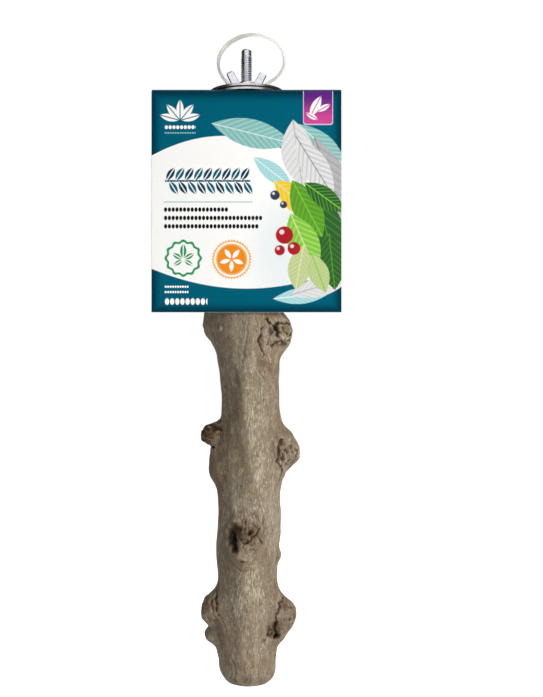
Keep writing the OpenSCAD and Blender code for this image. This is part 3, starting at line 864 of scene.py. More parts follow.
# %% [markdown]
# ## Branch: the wood's finish
# Debarked, weathered wood is grey-brown and mottled rather than striped: short dark and pale flecks
# follow the fibres, dusty patches lie between browner ones, and fine scratches cross them. A wave texture
# would give even stripes, so the colour is built in layers of noise over the bent grain coordinate. The
# map of painted shade and dead-wood stain darkens the cracks, pits and blots, with its edge made ragged
# by a fine noise. Painted shade also darkens the skin's hollows, and the halo and warmth maps brown the
# wood round and on the knots.

# %% Wood: the noises, stretched along the fibres
wood = Finish("weathered_wood")
grain_place = wood.attribute("grain", "Vector")
here = wood.place()


def fibre_noise(across, along, detail, roughness):
    """Noise over the bent grain, with one scale across the fibres and a smaller one along them."""
    return wood.noise(wood.stretch(grain_place, (across, across, along)), 1.0, detail, roughness)


patch = fibre_noise(0.060, 0.025, 3.0, 0.55)
mottle = fibre_noise(0.30, 0.13, 7.0, 0.70)
fleck = fibre_noise(1.05, 0.27, 5.0, 0.70)
dust = fibre_noise(1.25, 0.30, 5.0, 0.72)
scratch = fibre_noise(2.3, 0.26, 3.0, 0.6)
pepper = fibre_noise(1.0, 0.26, 4.0, 0.70)
brown_place = wood.noise(here, 42.0, 3.0, 0.6)
speck = wood.noise(here, 900.0, 4.0, 0.75)
ragged = wood.noise(here, 1300.0, 4.0, 0.7)
rubbed = wood.sum("MULTIPLY_ADD", wood.attribute("bleach"), 0.09, dust)
dusty = wood.sum(
    "MULTIPLY",
    wood.band(rubbed, 0.54, 0.63, 0.0, 0.95),
    wood.band(patch, 0.44, 0.58, 0.35, 1.0),
)
print("nodes so far:", len(wood.tree.nodes))

# %% Wood: tones of the weathered skin, each laid over those before it
tone = wood.mix(wood.band(patch, 0.36, 0.64), (0.220, 0.170, 0.114, 1), (0.282, 0.231, 0.166, 1))
skin_layers = {
    "brown": (wood.band(brown_place, 0.50, 0.68, 0.0, 0.55), (0.235, 0.158, 0.092, 1)),
    "pale mottle": (wood.band(mottle, 0.50, 0.62, 0.0, 0.62), (0.395, 0.336, 0.252, 1)),
    "dark mottle": (wood.band(mottle, 0.47, 0.36, 0.0, 0.45), (0.165, 0.120, 0.078, 1)),
    "dark flecks": (wood.band(fleck, 0.43, 0.35, 0.0, 0.80), (0.100, 0.070, 0.044, 1)),
    "dust": (dusty, (0.560, 0.495, 0.390, 1)),
    "scratches": (wood.band(scratch, 0.38, 0.31, 0.0, 0.65), (0.090, 0.062, 0.038, 1)),
    "dark specks": (wood.band(speck, 0.34, 0.43, 0.50, 0.0), (0.095, 0.070, 0.048, 1)),
    "pale specks": (wood.band(speck, 0.58, 0.67, 0.0, 0.38), (0.560, 0.500, 0.400, 1)),
    "pepper": (wood.band(pepper, 0.34, 0.29, 0.0, 0.65), (0.065, 0.044, 0.028, 1)),
}
for mask, colour in skin_layers.values():
    tone = wood.mix(mask, tone, colour)
print("layers of the skin:", ", ".join(skin_layers))

# %% Wood: knots and cracks
browned = wood.sum("MULTIPLY", wood.attribute("halo"), wood.band(mottle, 0.35, 0.62, 0.42, 0.08))
warm = wood.sum("MULTIPLY", wood.attribute("warmth"), wood.band(ragged, 0.3, 0.7, 0.95, 0.45))
uneven = wood.sum("SUBTRACT", ragged, 0.5)
# painted shade in the skin's hollows, and the shade-and-stain map: painted shade in cracks, pits and moats
# with the real dark of dead wood, both made ragged by fine noise
hollow = wood.sum("MULTIPLY_ADD", uneven, 0.6, wood.attribute("recess"))
crack = wood.sum("MULTIPLY_ADD", uneven, 0.8, wood.attribute("shade"))
knot_layers = {
    "browned halo": (browned, (0.190, 0.126, 0.074, 1)),
    "warm wood": (warm, (0.140, 0.084, 0.046, 1)),
    "painted shade in hollows": (wood.band(hollow, 0.25, 1.0, 0.0, 0.62), (0.085, 0.056, 0.034, 1)),
    "edge of a crack": (wood.band(crack, 0.14, 0.60, 0.0, 0.85), (0.062, 0.039, 0.022, 1)),
    "middle of a crack": (wood.band(crack, 0.62, 0.98), (0.007, 0.004, 0.003, 1)),
}
for mask, colour in knot_layers.values():
    tone = wood.mix(mask, tone, colour)
print("layers of the knots:", ", ".join(knot_layers))

# %% Wood: sawn ends with year rings
RING_PHASE = 4200.0
RING_WANDER = 14.0
across = wood.axes(here)
square_y = wood.sum("MULTIPLY", across["Y"], across["Y"])
from_pith = wood.sum("SQRT", wood.sum("MULTIPLY_ADD", across["X"], across["X"], square_y))
wobble = wood.sum("MULTIPLY", brown_place, RING_WANDER)
rings = wood.sum("SINE", wood.sum("MULTIPLY_ADD", from_pith, RING_PHASE, wobble))
end_tone = wood.mix(wood.band(rings, -0.6, 1.0), (0.300, 0.225, 0.140, 1), (0.190, 0.132, 0.078, 1))
end_tone = wood.mix(wood.band(speck, 0.34, 0.46, 0.5, 0.0), end_tone, (0.090, 0.062, 0.040, 1))
tone = wood.mix(wood.attribute("sawn"), tone, end_tone)
print("year rings are this far apart, mm:", round(2 * math.pi / RING_PHASE / MM, 1))

# %% Wood: relief, and the finished branch
relief = wood.sum("MULTIPLY_ADD", fleck, 0.9, wood.sum("MULTIPLY", dust, 0.6))
relief = wood.sum("MULTIPLY_ADD", wood.band(scratch, 0.37, 0.30), -0.35, relief)
relief = wood.sum("MULTIPLY_ADD", wood.band(pepper, 0.38, 0.29), -0.2, relief)
relief = wood.sum("MULTIPLY_ADD", wood.band(crack, 0.30, 0.80), -0.8, relief)
fine = wood.bump(speck, 0.35, 0.0002)
wood_material = wood.set(
    Base_Color=tone,
    Roughness=wood.band(mottle, 0.3, 0.7, 0.88, 0.74),
    Specular_IOR_Level=0.25,
    Normal=wood.bump(relief, 0.50, 0.0004, fine),
)

branch = grid_piece(
    "branch_wood", points, wood_material,
    shade=with_ends(shade), recess=with_ends(recess), warmth=with_ends(warmth), bleach=with_ends(bleach),
    halo=with_ends(halo), grain=with_ends(grain), sawn=sawn,
)
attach(branch, "perch")
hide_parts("branch")

# %% [markdown]
# ## Turned steel: bolt and washers
# The hanger bolt is rolled wire: a wood screw below and a machine thread of 1 mm pitch above, whose top
# turns are worn smooth. A screw modifier could make a thread, but one radius formula over height and
# angle gives the thread, its run-outs and the point in a single closed skin. The washers are stamped
# rings, so their section is a rounded rectangle with one softer rim, turned about the bolt.

# %% Sizes of the bolt
bolt_box = [np.array(corner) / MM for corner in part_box("hanger_bolt")]
BOLT_TOP = bolt_box[1][2]
SCREW_TIP = bolt_box[0][2]
BOLT_RADIUS = 2.95
THREAD_DEPTH = 0.52
THREAD_PITCH = 1.0
SHANK_RADIUS = 2.62
SCREW_CORE = 2.1
SCREW_BLADE = 0.78
SCREW_PITCH = 2.6
SCREW_END = WOOD_TOP - 2.5
POINT_LENGTH = 8.0
WORN_LENGTH = 3.9
WORN_DEPTH = 0.17
WORN_SHARE = 0.75
TIP_BEVEL = 0.9
print("bolt from tip to point, mm:", round(BOLT_TOP - SCREW_TIP, 1))


# %% Shape of the bolt
def smooth_step(value, low, high):
    """Cubic ease from 0 at low to 1 at high."""
    t = np.clip((value - low) / (high - low), 0, 1)
    return t * t * (3 - 2 * t)


def bolt_radius(z, angle):
    """Crest radius less the thread's depth times a wave whose phase grows with height, less the angle.

    Three stretches ease into each other: the pointed wood screw, the plain shank and the machine thread.
    """
    turns = angle / (2 * np.pi)
    wave = 0.5 + 0.5 * np.cos(2 * np.pi * (z / THREAD_PITCH - turns))
    worn = smooth_step(z, BOLT_TOP - WORN_LENGTH - 0.6, BOLT_TOP - WORN_LENGTH + 0.4)
    machine = BOLT_RADIUS - WORN_DEPTH * worn - THREAD_DEPTH * (1 - WORN_SHARE * worn) * (1 - wave**0.5)
    blade = (0.5 + 0.5 * np.cos(2 * np.pi * (z / SCREW_PITCH - turns))) ** 5
    point = np.clip((z - SCREW_TIP) / POINT_LENGTH, 0.02, 1) ** 0.6
    screw = (SCREW_CORE + SCREW_BLADE * blade) * point
    upper = smooth_step(z, SCREW_END - 0.8, SCREW_END + 0.8)
    start = smooth_step(z, SCREW_END, SCREW_END + 3.0)
    shank = SHANK_RADIUS + (machine - SHANK_RADIUS) * start
    radius = screw + (shank - screw) * upper
    return np.minimum(radius, BOLT_RADIUS - (z - BOLT_TOP + TIP_BEVEL))


heights = np.concatenate([
    np.linspace(BOLT_TOP, SCREW_END, 300),
    np.linspace(SCREW_END, SCREW_TIP, 170)[1:],
])
Z, T = np.meshgrid(heights, np.radians(np.arange(0, 360, 7.5)), indexing="ij")
R = bolt_radius(Z, T)
bolt_points = np.stack([R * np.cos(T), R * np.sin(T), Z], -1)
root = np.clip((BOLT_RADIUS - R) / THREAD_DEPTH, 0, 1)
print("machine thread and shank, mm:", round(BOLT_TOP - SCREW_END, 1))

# %% Finish of the bolt: bright crests, and roots darkened with painted shade
steel = Finish("rolled_zinc_steel")
at = steel.place()
grime = steel.noise(at, 700.0, 3.0, 0.6)
# painted shade in the roots of the thread, made uneven by a fine noise
root_shade = steel.sum("MULTIPLY", steel.attribute("root"), steel.band(grime, 0.35, 0.65, 0.25, 0.60))
bolt_tone = steel.mix(steel.band(grime, 0.35, 0.65), (0.76, 0.79, 0.83, 1), (0.88, 0.91, 0.95, 1))
bolt_tone = steel.mix(root_shade, bolt_tone, (0.13, 0.14, 0.17, 1))
bolt_finish = steel.set(
    Base_Color=bolt_tone,
    Metallic=1.0,
    Roughness=steel.band(grime, 0.3, 0.7, 0.20, 0.34),
    Normal=steel.bump(steel.noise(at, 2600.0, 2.0, 0.5), 0.12, 0.0001),
)
bolt = grid_piece("threaded_bolt", bolt_points, bolt_finish, root=root)
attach(bolt, "perch")
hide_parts("hanger_bolt")


# %% Section and turning of a ring
def turned_ring(name, section, material, columns=180):
    """A closed section of points (radius, height) carried round the bolt's axis."""
    angle = np.radians(np.arange(columns) * 360 / columns)[None, :]
    radius, up = section[:, 0:1], section[:, 1:2] + 0 * angle
    points = np.stack([radius * np.cos(angle), radius * np.sin(angle), up], -1)
    return grid_piece(name, points, material, ring=True)


def rounded_section(inner, outer, foot, top, radii, steps=5):
    """Corners of a rectangle rounded by quarter circles: outer foot, outer top, inner top, inner foot."""
    corners = [(outer, foot, -90), (outer, top, 0), (inner, top, 90), (inner, foot, 180)]
    points = []
    for (x, z, start), radius in zip(corners, radii):
        middle_x = x + (-radius if x == outer else radius)
        middle_z = z + (radius if z == foot else -radius)
        turn = np.radians(start + np.linspace(0, 90, steps))
        points.append(np.stack([middle_x + radius * np.cos(turn), middle_z + radius * np.sin(turn)], -1))
    return np.concatenate(points)[::-1]


# %% Washers: fine circles on a plated face, with dull spots
WASHER_BORE = 3.2
WASHER_EDGE = 0.24
CIRCLES_PER_METRE = 9000.0
LINES_PER_METRE = 2500.0
plate = Finish("stamped_zinc_plate")
at = plate.place()
position = plate.axes(at)
square_x = plate.sum("MULTIPLY", position["X"], position["X"])
reach = plate.sum("SQRT", plate.sum("MULTIPLY_ADD", position["Y"], position["Y"], square_x))
lathe = plate.add("ShaderNodeCombineXYZ", {
    "X": plate.sum("MULTIPLY", reach, CIRCLES_PER_METRE),
    "Z": plate.sum("MULTIPLY", position["Z"], LINES_PER_METRE),
})
turned = plate.noise(lathe, 1.0, 2.0, 0.6)
cloud = plate.noise(at, 160.0, 4.0, 0.6)
dull = plate.band(plate.noise(at, 900.0, 3.0, 0.7), 0.60, 0.72, 0.0, 0.4)
plate_tone = plate.mix(plate.band(cloud, 0.35, 0.65), (0.60, 0.565, 0.545, 1), (0.78, 0.755, 0.76, 1))
plate_tone = plate.mix(dull, plate_tone, (0.33, 0.28, 0.24, 1))
plate_finish = plate.set(
    Base_Color=plate_tone,
    Metallic=1.0,
    Roughness=plate.band(cloud, 0.3, 0.7, 0.24, 0.38),
    Normal=plate.bump(turned, 0.10, 0.0001),
)
for piece_name, node, body in (
    ("lower_washer_ring", "washer_lower", "lower_washer"),
    ("upper_washer_ring", "washer_upper", "upper_washer"),
):
    low, top = (np.array(corner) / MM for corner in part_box(node))
    section = rounded_section(WASHER_BORE, top[0], low[2], top[2], (0.15, WASHER_EDGE, 0.3, 0.2))
    washer = turned_ring(piece_name, section, plate_finish)
    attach(washer, body)
    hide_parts(node)

# %% [markdown]
# ## Wing nut
# The nut is cast zinc: a short round hub with two flat tabs that lean outwards and end nearly square. A
# bevelled box could stand for a tab, but a casting swells where it leaves the hub. So each tab is a
# rounded rectangle carried along a straight line. Near the hub it grows wider and thicker, as a fillet
# does, and at its end it closes over a small radius.

# %% Sizes of the nut
nut_box = [np.array(corner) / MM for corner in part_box("wing_nut")]
NUT_FOOT = nut_box[0][2]
NUT_YAW = 10.0
HUB_BORE = 3.0
HUB_RADIUS = 5.15
HUB_HEIGHT = 5.0
HUB_DRAFT = 0.22
WING_HALF_WIDTH = 2.1
WING_HALF_THICKNESS = 1.1
WING_REACH = 11.3
WING_HEIGHT = 11.4
WING_LEAN = math.radians(28)
WING_ROUND = 0.9
WING_TIP = 1.5
WING_TIP_ROUND = 0.85
WING_LENGTH = 11.0
FILLET = 0.9
FILLET_LENGTH = 2.6
NEARLY_ONE = 0.999
print("nut, mm:", 2 * WING_REACH, "from wing to wing, and", WING_HEIGHT, "high")

# %% Cast zinc
cast = Finish("cast_zinc")
at = cast.place()
skin_grain = cast.noise(at, 480.0, 4.0, 0.6)
pores = cast.band(cast.noise(at, 1500.0, 2.0, 0.6), 0.62, 0.74, 0.0, 0.5)
cast_tone = cast.mix(cast.band(skin_grain, 0.35, 0.65), (0.70, 0.74, 0.80, 1), (0.88, 0.91, 0.95, 1))
cast_tone = cast.mix(pores, cast_tone, (0.34, 0.36, 0.40, 1))
cast_finish = cast.set(
    Base_Color=cast_tone,
    Metallic=1.0,
    Roughness=cast.band(skin_grain, 0.3, 0.7, 0.12, 0.24),
    Normal=cast.bump(skin_grain, 0.12, 0.0001),
)
print("finish of the nut:", cast_finish.name)


# %% Wings
def rounded_rectangle(half_x, half_y, corner, steps=6):
    """Points round a rectangle whose corners are quarter circles, anticlockwise from the right side."""
    turn = np.radians(np.arange(4)[:, None] * 90 + np.linspace(0, 90, steps)[None, :])
    sign_x = np.array([1, -1, -1, 1])[:, None]
    sign_y = np.array([1, 1, -1, -1])[:, None]
    x = sign_x * (half_x - corner) + corner * np.cos(turn)
    y = sign_y * (half_y - corner) + corner * np.sin(turn)
    return np.stack([x.ravel(), y.ravel()], -1)


def wing_points(side):
    """A rounded rectangle carried along the leaning line, with a fillet at its root and a rounded end."""
    tip_rows = WING_TIP * np.sin(np.radians(np.linspace(6, 90, 14)))
    along = np.concatenate([np.linspace(-WING_LENGTH, -WING_TIP, 32), -WING_TIP + tip_rows])
    fillet = FILLET * np.exp(-(along + WING_LENGTH) / FILLET_LENGTH)
    end = np.clip((along + WING_ROUND) / WING_ROUND, 0, 1)
    half_width = WING_HALF_WIDTH + fillet - WING_ROUND * (1 - np.sqrt(1 - end**2 * NEARLY_ONE))
    tip = np.clip((along + WING_TIP) / WING_TIP, 0, 1)
    half_thick = WING_HALF_THICKNESS + fillet - WING_TIP_ROUND * (1 - np.sqrt(1 - tip**2 * NEARLY_ONE))
    lean_x, lean_z = math.sin(WING_LEAN), math.cos(WING_LEAN)
    rows = []
    for s, a, b in zip(along, half_width, half_thick):
        corner = rounded_rectangle(a, b, min(0.70, 0.9 * b))
        out = corner[:, 0] - WING_HALF_WIDTH
        x = WING_REACH + s * lean_x + out * lean_z
        z = WING_HEIGHT + s * lean_z - out * lean_x - 2 * WING_HALF_WIDTH * lean_x
        rows.append(np.stack([side * x, side * corner[:, 1], np.maximum(z, 0.3)], -1))
    return np.array(rows[::-1])


def yawed(points):
    """Turn points about the bolt by the nut's resting angle and lift them to its foot."""
    c, s = math.cos(math.radians(NUT_YAW)), math.sin(math.radians(NUT_YAW))
    x, y, z = points[..., 0], points[..., 1], points[..., 2]
    return np.stack([x * c - y * s, x * s + y * c, z + NUT_FOOT], -1)


# %% Hub, and the whole nut
hub_section = rounded_section(HUB_BORE, HUB_RADIUS, 0.0, HUB_HEIGHT, (0.35, 0.9, 0.3, 0.2))
draft = HUB_DRAFT - 2 * HUB_DRAFT * hub_section[:, 1] / HUB_HEIGHT
hub_section[:, 0] += np.where(hub_section[:, 0] > (HUB_BORE + HUB_RADIUS) / 2, draft, 0)
hub_section[:, 1] += NUT_FOOT
nut_pieces = [turned_ring("nut_hub", hub_section, cast_finish, 96)]
for side, word in ((-1, "left"), (1, "right")):
    nut_pieces.append(grid_piece("nut_wing_" + word, yawed(wing_points(side)), cast_finish))
for piece in nut_pieces:
    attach(piece, "wing_nut")
    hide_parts("wing_nut")

# %% [markdown]
# ## Strap tie
# The hang loop is a moulded nylon cable tie. It starts in its locking head, runs down the right leg,
# lies flat between the washers round the bolt, comes up as the left leg and arches back into the head.
# It could be a curve with a bevel, but such a strap turns its face as it bends: its edge faces the front
# on the left, and its flat face turns to the right over the arch. So its section is carried along
# listed stations that also give the angle of its face. Its inner face has the fine ladder of teeth
# that such a strap has.

# %% Route of the strap
STRAP_WIDTH = 2.45
STRAP_THICKNESS = 0.6
STRAP_Z = 0.35
TURN_RADIUS = 10.3
BEND_RADIUS = 1.6
BEND_OVERLAP = 1.5
LEG_BACK = 19.57
ARCH_HEIGHT = 34.0
ARCH_HALF_WIDTH = 18.4
ARCH_SHIFT = 2.7
LEG_SHARE = 0.14
HEAD_FOOT = 4.1
HEAD_HEIGHT = 4.4
# X from the arch's middle, Y and Z as shares, then the angle of the strap's face: 90 faces the front
ARCH_SHARES = np.array([
    [-0.707, 0.975, 0.245, 72],
    [-0.728, 0.955, 0.339, 55],
    [-0.846, 0.920, 0.409, 42],
    [-0.953, 0.850, 0.498, 33],
    [-1.004, 0.750, 0.599, 29],
    [-0.984, 0.640, 0.697, 32],
    [-0.893, 0.520, 0.793, 45],
    [-0.690, 0.390, 0.897, 72],
    [-0.387, 0.250, 0.971, 98],
    [-0.147, 0.160, 0.994, 116],
    [0.093, 0.120, 1.000, 130],
    [0.333, 0.150, 0.985, 140],
    [0.575, 0.250, 0.949, 148],
    [0.794, 0.370, 0.883, 153],
    [0.938, 0.490, 0.791, 157],
    [0.999, 0.620, 0.677, 159],
    [0.988, 0.730, 0.579, 160],
    [0.900, 0.820, 0.494, 160],
    [0.739, 0.900, 0.406, 160],
    [0.564, 0.945, 0.351, 150],
    [0.430, 0.970, 0.270, 120],
])
print("arch, mm:", 2 * ARCH_HALF_WIDTH, "wide and", ARCH_HEIGHT, "high")


# %% Arcs and smooth routes
def round_turn(middle, first, second, start, end, count):
    """Points of an arc: middle plus the first way times cosine plus the second way times sine."""
    angle = np.radians(np.linspace(start, end, count))[:, None]
    return np.array(middle) + np.array(first) * np.cos(angle) + np.array(second) * np.sin(angle)


def smooth_route(stations, steps):
    """A smooth curve through stations whose slope at each is half the step between its neighbours."""
    padded = np.vstack([stations[:1], stations, stations[-1:]])
    a, b, c, d = padded[:-3], padded[1:-2], padded[2:-1], padded[3:]
    t = (np.arange(steps) / steps)[None, :, None]
    a, b, c, d = a[:, None], b[:, None], c[:, None], d[:, None]
    square, cube = (2 * a - 5 * b + 4 * c - d) * t**2, (3 * b - a - 3 * c + d) * t**3
    return (0.5 * (2 * b + (c - a) * t + square + cube)).reshape(-1, stations.shape[1])


# %% Arch over the bolt, with the direction of the strap's width
ARCH_STEPS = 22
arch = ARCH_SHARES * (ARCH_HALF_WIDTH, LEG_BACK, ARCH_HEIGHT, 1) + (ARCH_SHIFT, 0, 0, 0)
leg_top = LEG_SHARE * ARCH_HEIGHT
left_foot = [-TURN_RADIUS, LEG_BACK, leg_top, 90]
right_foot = [TURN_RADIUS, LEG_BACK, leg_top, 90]
over = smooth_route(np.vstack([left_foot, arch, right_foot]), ARCH_STEPS)
front = np.array([0.0, -1.0, 0.0])
to_middle = unit(np.cross(np.gradient(over[:, :3], axis=0), front))
twist = np.radians(over[:, 3:])
over_width = np.cos(twist) * front - np.sin(twist) * to_middle
print("stations of the arch:", len(arch), "and points along it:", len(over))

# %% Legs and the flat turn round the bolt
bend_y = LEG_BACK - BEND_RADIUS
bend_z = STRAP_Z + BEND_RADIUS
down = np.array([[TURN_RADIUS, LEG_BACK, z] for z in np.linspace(leg_top + BEND_OVERLAP, bend_z, 12)])[:-1]
right_bend = round_turn((TURN_RADIUS, bend_y, bend_z), (0, BEND_RADIUS, 0), (0, 0, -BEND_RADIUS), 0, 90, 18)
forward = np.array([[TURN_RADIUS, y, STRAP_Z] for y in np.linspace(bend_y, 0, 40)])[1:-1]
round_bolt = round_turn((0, 0, STRAP_Z), (TURN_RADIUS, 0, 0), (0, -TURN_RADIUS, 0), 0, 180, 90)
left_side = (np.vstack([down, right_bend, forward]) * (-1, 1, 1))[::-1]
route = np.vstack([down, right_bend, forward, round_bolt, left_side[:-len(down)]])
leg_up = np.array([[-TURN_RADIUS, LEG_BACK, z] for z in np.linspace(bend_z, leg_top, 8)])[1:-1]
route = np.vstack([route, leg_up])
spoke = route[:, :1] / TURN_RADIUS
spoke_y = np.minimum(route[:, 1:2], 0) / TURN_RADIUS
width_way = np.column_stack([spoke, spoke_y, 0 * spoke])
route = np.vstack([route, over[:, :3]])
width_way = np.vstack([width_way, over_width])
run = np.concatenate([[0], np.cumsum(np.linalg.norm(np.diff(route, axis=0), axis=1))])
print("strap from head to head, mm:", run[-1].round(1))

# %% Sweep the strap
TOOTH_PITCH = 1.3
TOOTH_DEPTH = 0.02
LADDER_SHARE = 0.78
SIDE_SQUARENESS, FACE_SQUARENESS = 0.30, 0.55


def squared(wave, power):
    """A sine or cosine whose size is raised to a power under 1, which squares the section's corners."""
    return np.sign(wave) * np.abs(wave) ** power


ahead = unit(np.gradient(route, axis=0))
across = unit(width_way - ahead * (width_way * ahead).sum(1, keepdims=True))
inward = np.cross(ahead, across)
section_turn = np.linspace(0, 2 * np.pi, 24, endpoint=False)[None, :]
sine = np.sin(section_turn)
half_width = STRAP_WIDTH / 2 * squared(np.cos(section_turn), SIDE_SQUARENESS)
tooth = 0.5 + 0.5 * np.cos(2 * np.pi * run / TOOTH_PITCH)[:, None]
ladder = smooth_step(LADDER_SHARE - np.abs(half_width) / (STRAP_WIDTH / 2), 0.0, 0.25) * (sine > 0)
half_thick = STRAP_THICKNESS / 2 * squared(sine, FACE_SQUARENESS) - TOOTH_DEPTH * ladder * tooth**2
strap_points = route[:, None] + across[:, None] * half_width[..., None]
strap_points = strap_points + inward[:, None] * half_thick[..., None]
print("teeth on the strap:", int(run[-1] / TOOTH_PITCH))

# %% Natural nylon, and the strap
nylon = Finish("natural_nylon")
at = nylon.place()
haze = nylon.noise(at, 130.0, 3.0, 0.6)
flow_line = nylon.noise(at, 1100.0, 2.0, 0.5)
nylon_tone = nylon.mix(nylon.band(haze, 0.3, 0.7), (0.85, 0.84, 0.80, 1), (0.90, 0.89, 0.86, 1))
nylon_finish = nylon.set(
    Base_Color=nylon_tone,
    Roughness=nylon.band(flow_line, 0.3, 0.7, 0.38, 0.55),
    Specular_IOR_Level=0.4,
    Normal=nylon.bump(flow_line, 0.10, 0.0001),
)
strap = grid_piece("tie_strap", strap_points, nylon_finish, flip=True)
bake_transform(strap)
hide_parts("hang_tie_foot", "hang_tie_loop")

# %% Locking head and cut tail
HEAD_HALF_WIDTH = 2.3
HEAD_HALF_DEPTH = 1.6
HEAD_MIDDLE_Y = LEG_BACK - STRAP_THICKNESS / 2 + HEAD_HALF_DEPTH
TAIL_LENGTH = 2.2
TAIL_SHARE = 0.55
TAIL_Y = LEG_BACK + 2 * HEAD_HALF_DEPTH * TAIL_SHARE


def block_rows(levels, middle_x, middle_y):
    """Rounded rectangles at several heights. A level is height, half width, half depth and corner."""
    rows = []
    for z, half_x, half_y, corner in levels:
        x, y = rounded_rectangle(half_x, half_y, corner).T
        rows.append(np.column_stack([middle_x + x, middle_y + y, np.full(len(x), z)]))
    return np.array(rows[::-1])


foot, roof = HEAD_FOOT, HEAD_FOOT + HEAD_HEIGHT
head_levels = [
    (foot + 0.5, 1.2, 0.5, 0.2), (foot, 1.35, 0.62, 0.25),
    (foot, 1.9, 1.2, 0.45), (foot + 0.12, 2.15, 1.45, 0.55),
    (foot + 0.4, HEAD_HALF_WIDTH, HEAD_HALF_DEPTH, 0.6),
    (roof - 1.5, HEAD_HALF_WIDTH, HEAD_HALF_DEPTH, 0.6),
    (roof - 0.5, 2.2, 1.5, 0.6), (roof - 0.12, 2.0, 1.3, 0.55),
    (roof, 1.8, 1.1, 0.45), (roof, 1.4, 0.72, 0.25), (roof - 0.7, 1.3, 0.62, 0.2),
]
head = grid_piece("tie_head", block_rows(head_levels, TURN_RADIUS, HEAD_MIDDLE_Y), nylon_finish)
tail_levels = [
    (roof - 0.6, 1.2, 0.29, 0.15),
    (roof + TAIL_LENGTH - 0.15, 1.2, 0.29, 0.15),
    (roof + TAIL_LENGTH, 1.1, 0.2, 0.1),
]
tail = grid_piece("tie_tail", block_rows(tail_levels, TURN_RADIUS, TAIL_Y), nylon_finish)
for piece in (head, tail):
    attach(piece, "tie_loop")
    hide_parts("hang_tie_loop")

# %% [markdown]
# ## Card: the print
# The card is printed in deep teal with a white field between two arcs, and the teal darkens towards every
# edge. The motifs on it are this lesson's own: leaves, berries, beads and rosettes. An image texture could
# carry them, but it blurs from close by, so every motif is a small formula in the card's own plane, in
# millimetres. The outside of the board is printed and its inside is bare.

# %% Size of the hanging panel
CARD_HALF_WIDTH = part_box("card_front_panel")[1][0] / MM
FRONT_LOW, FRONT_TOP = (corner[2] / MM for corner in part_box("card_front_panel"))
CARD_HEIGHT = FRONT_TOP - FRONT_LOW
print("front panel, mm:", round(2 * CARD_HALF_WIDTH, 1), "by", round(CARD_HEIGHT, 1))


# %% Drawing tools for the print
def ink(red, green, blue):
    """A printed colour from its display values of 0 to 255, made linear with the display's own curve."""
    share = np.array([red, green, blue]) / 255
    linear = np.where(share <= 0.04045, share / 12.92, ((share + 0.055) / 1.055) ** 2.4)
    return (*linear.tolist(), 1)


# how far the edge of a motif fades, in millimetres
BLOCK_SOFT, LEAF_SOFT, ROSETTE_SOFT = 0.15, 0.18, 0.2
print("a middle grey in linear light:", round(ink(128, 128, 128)[0], 3))


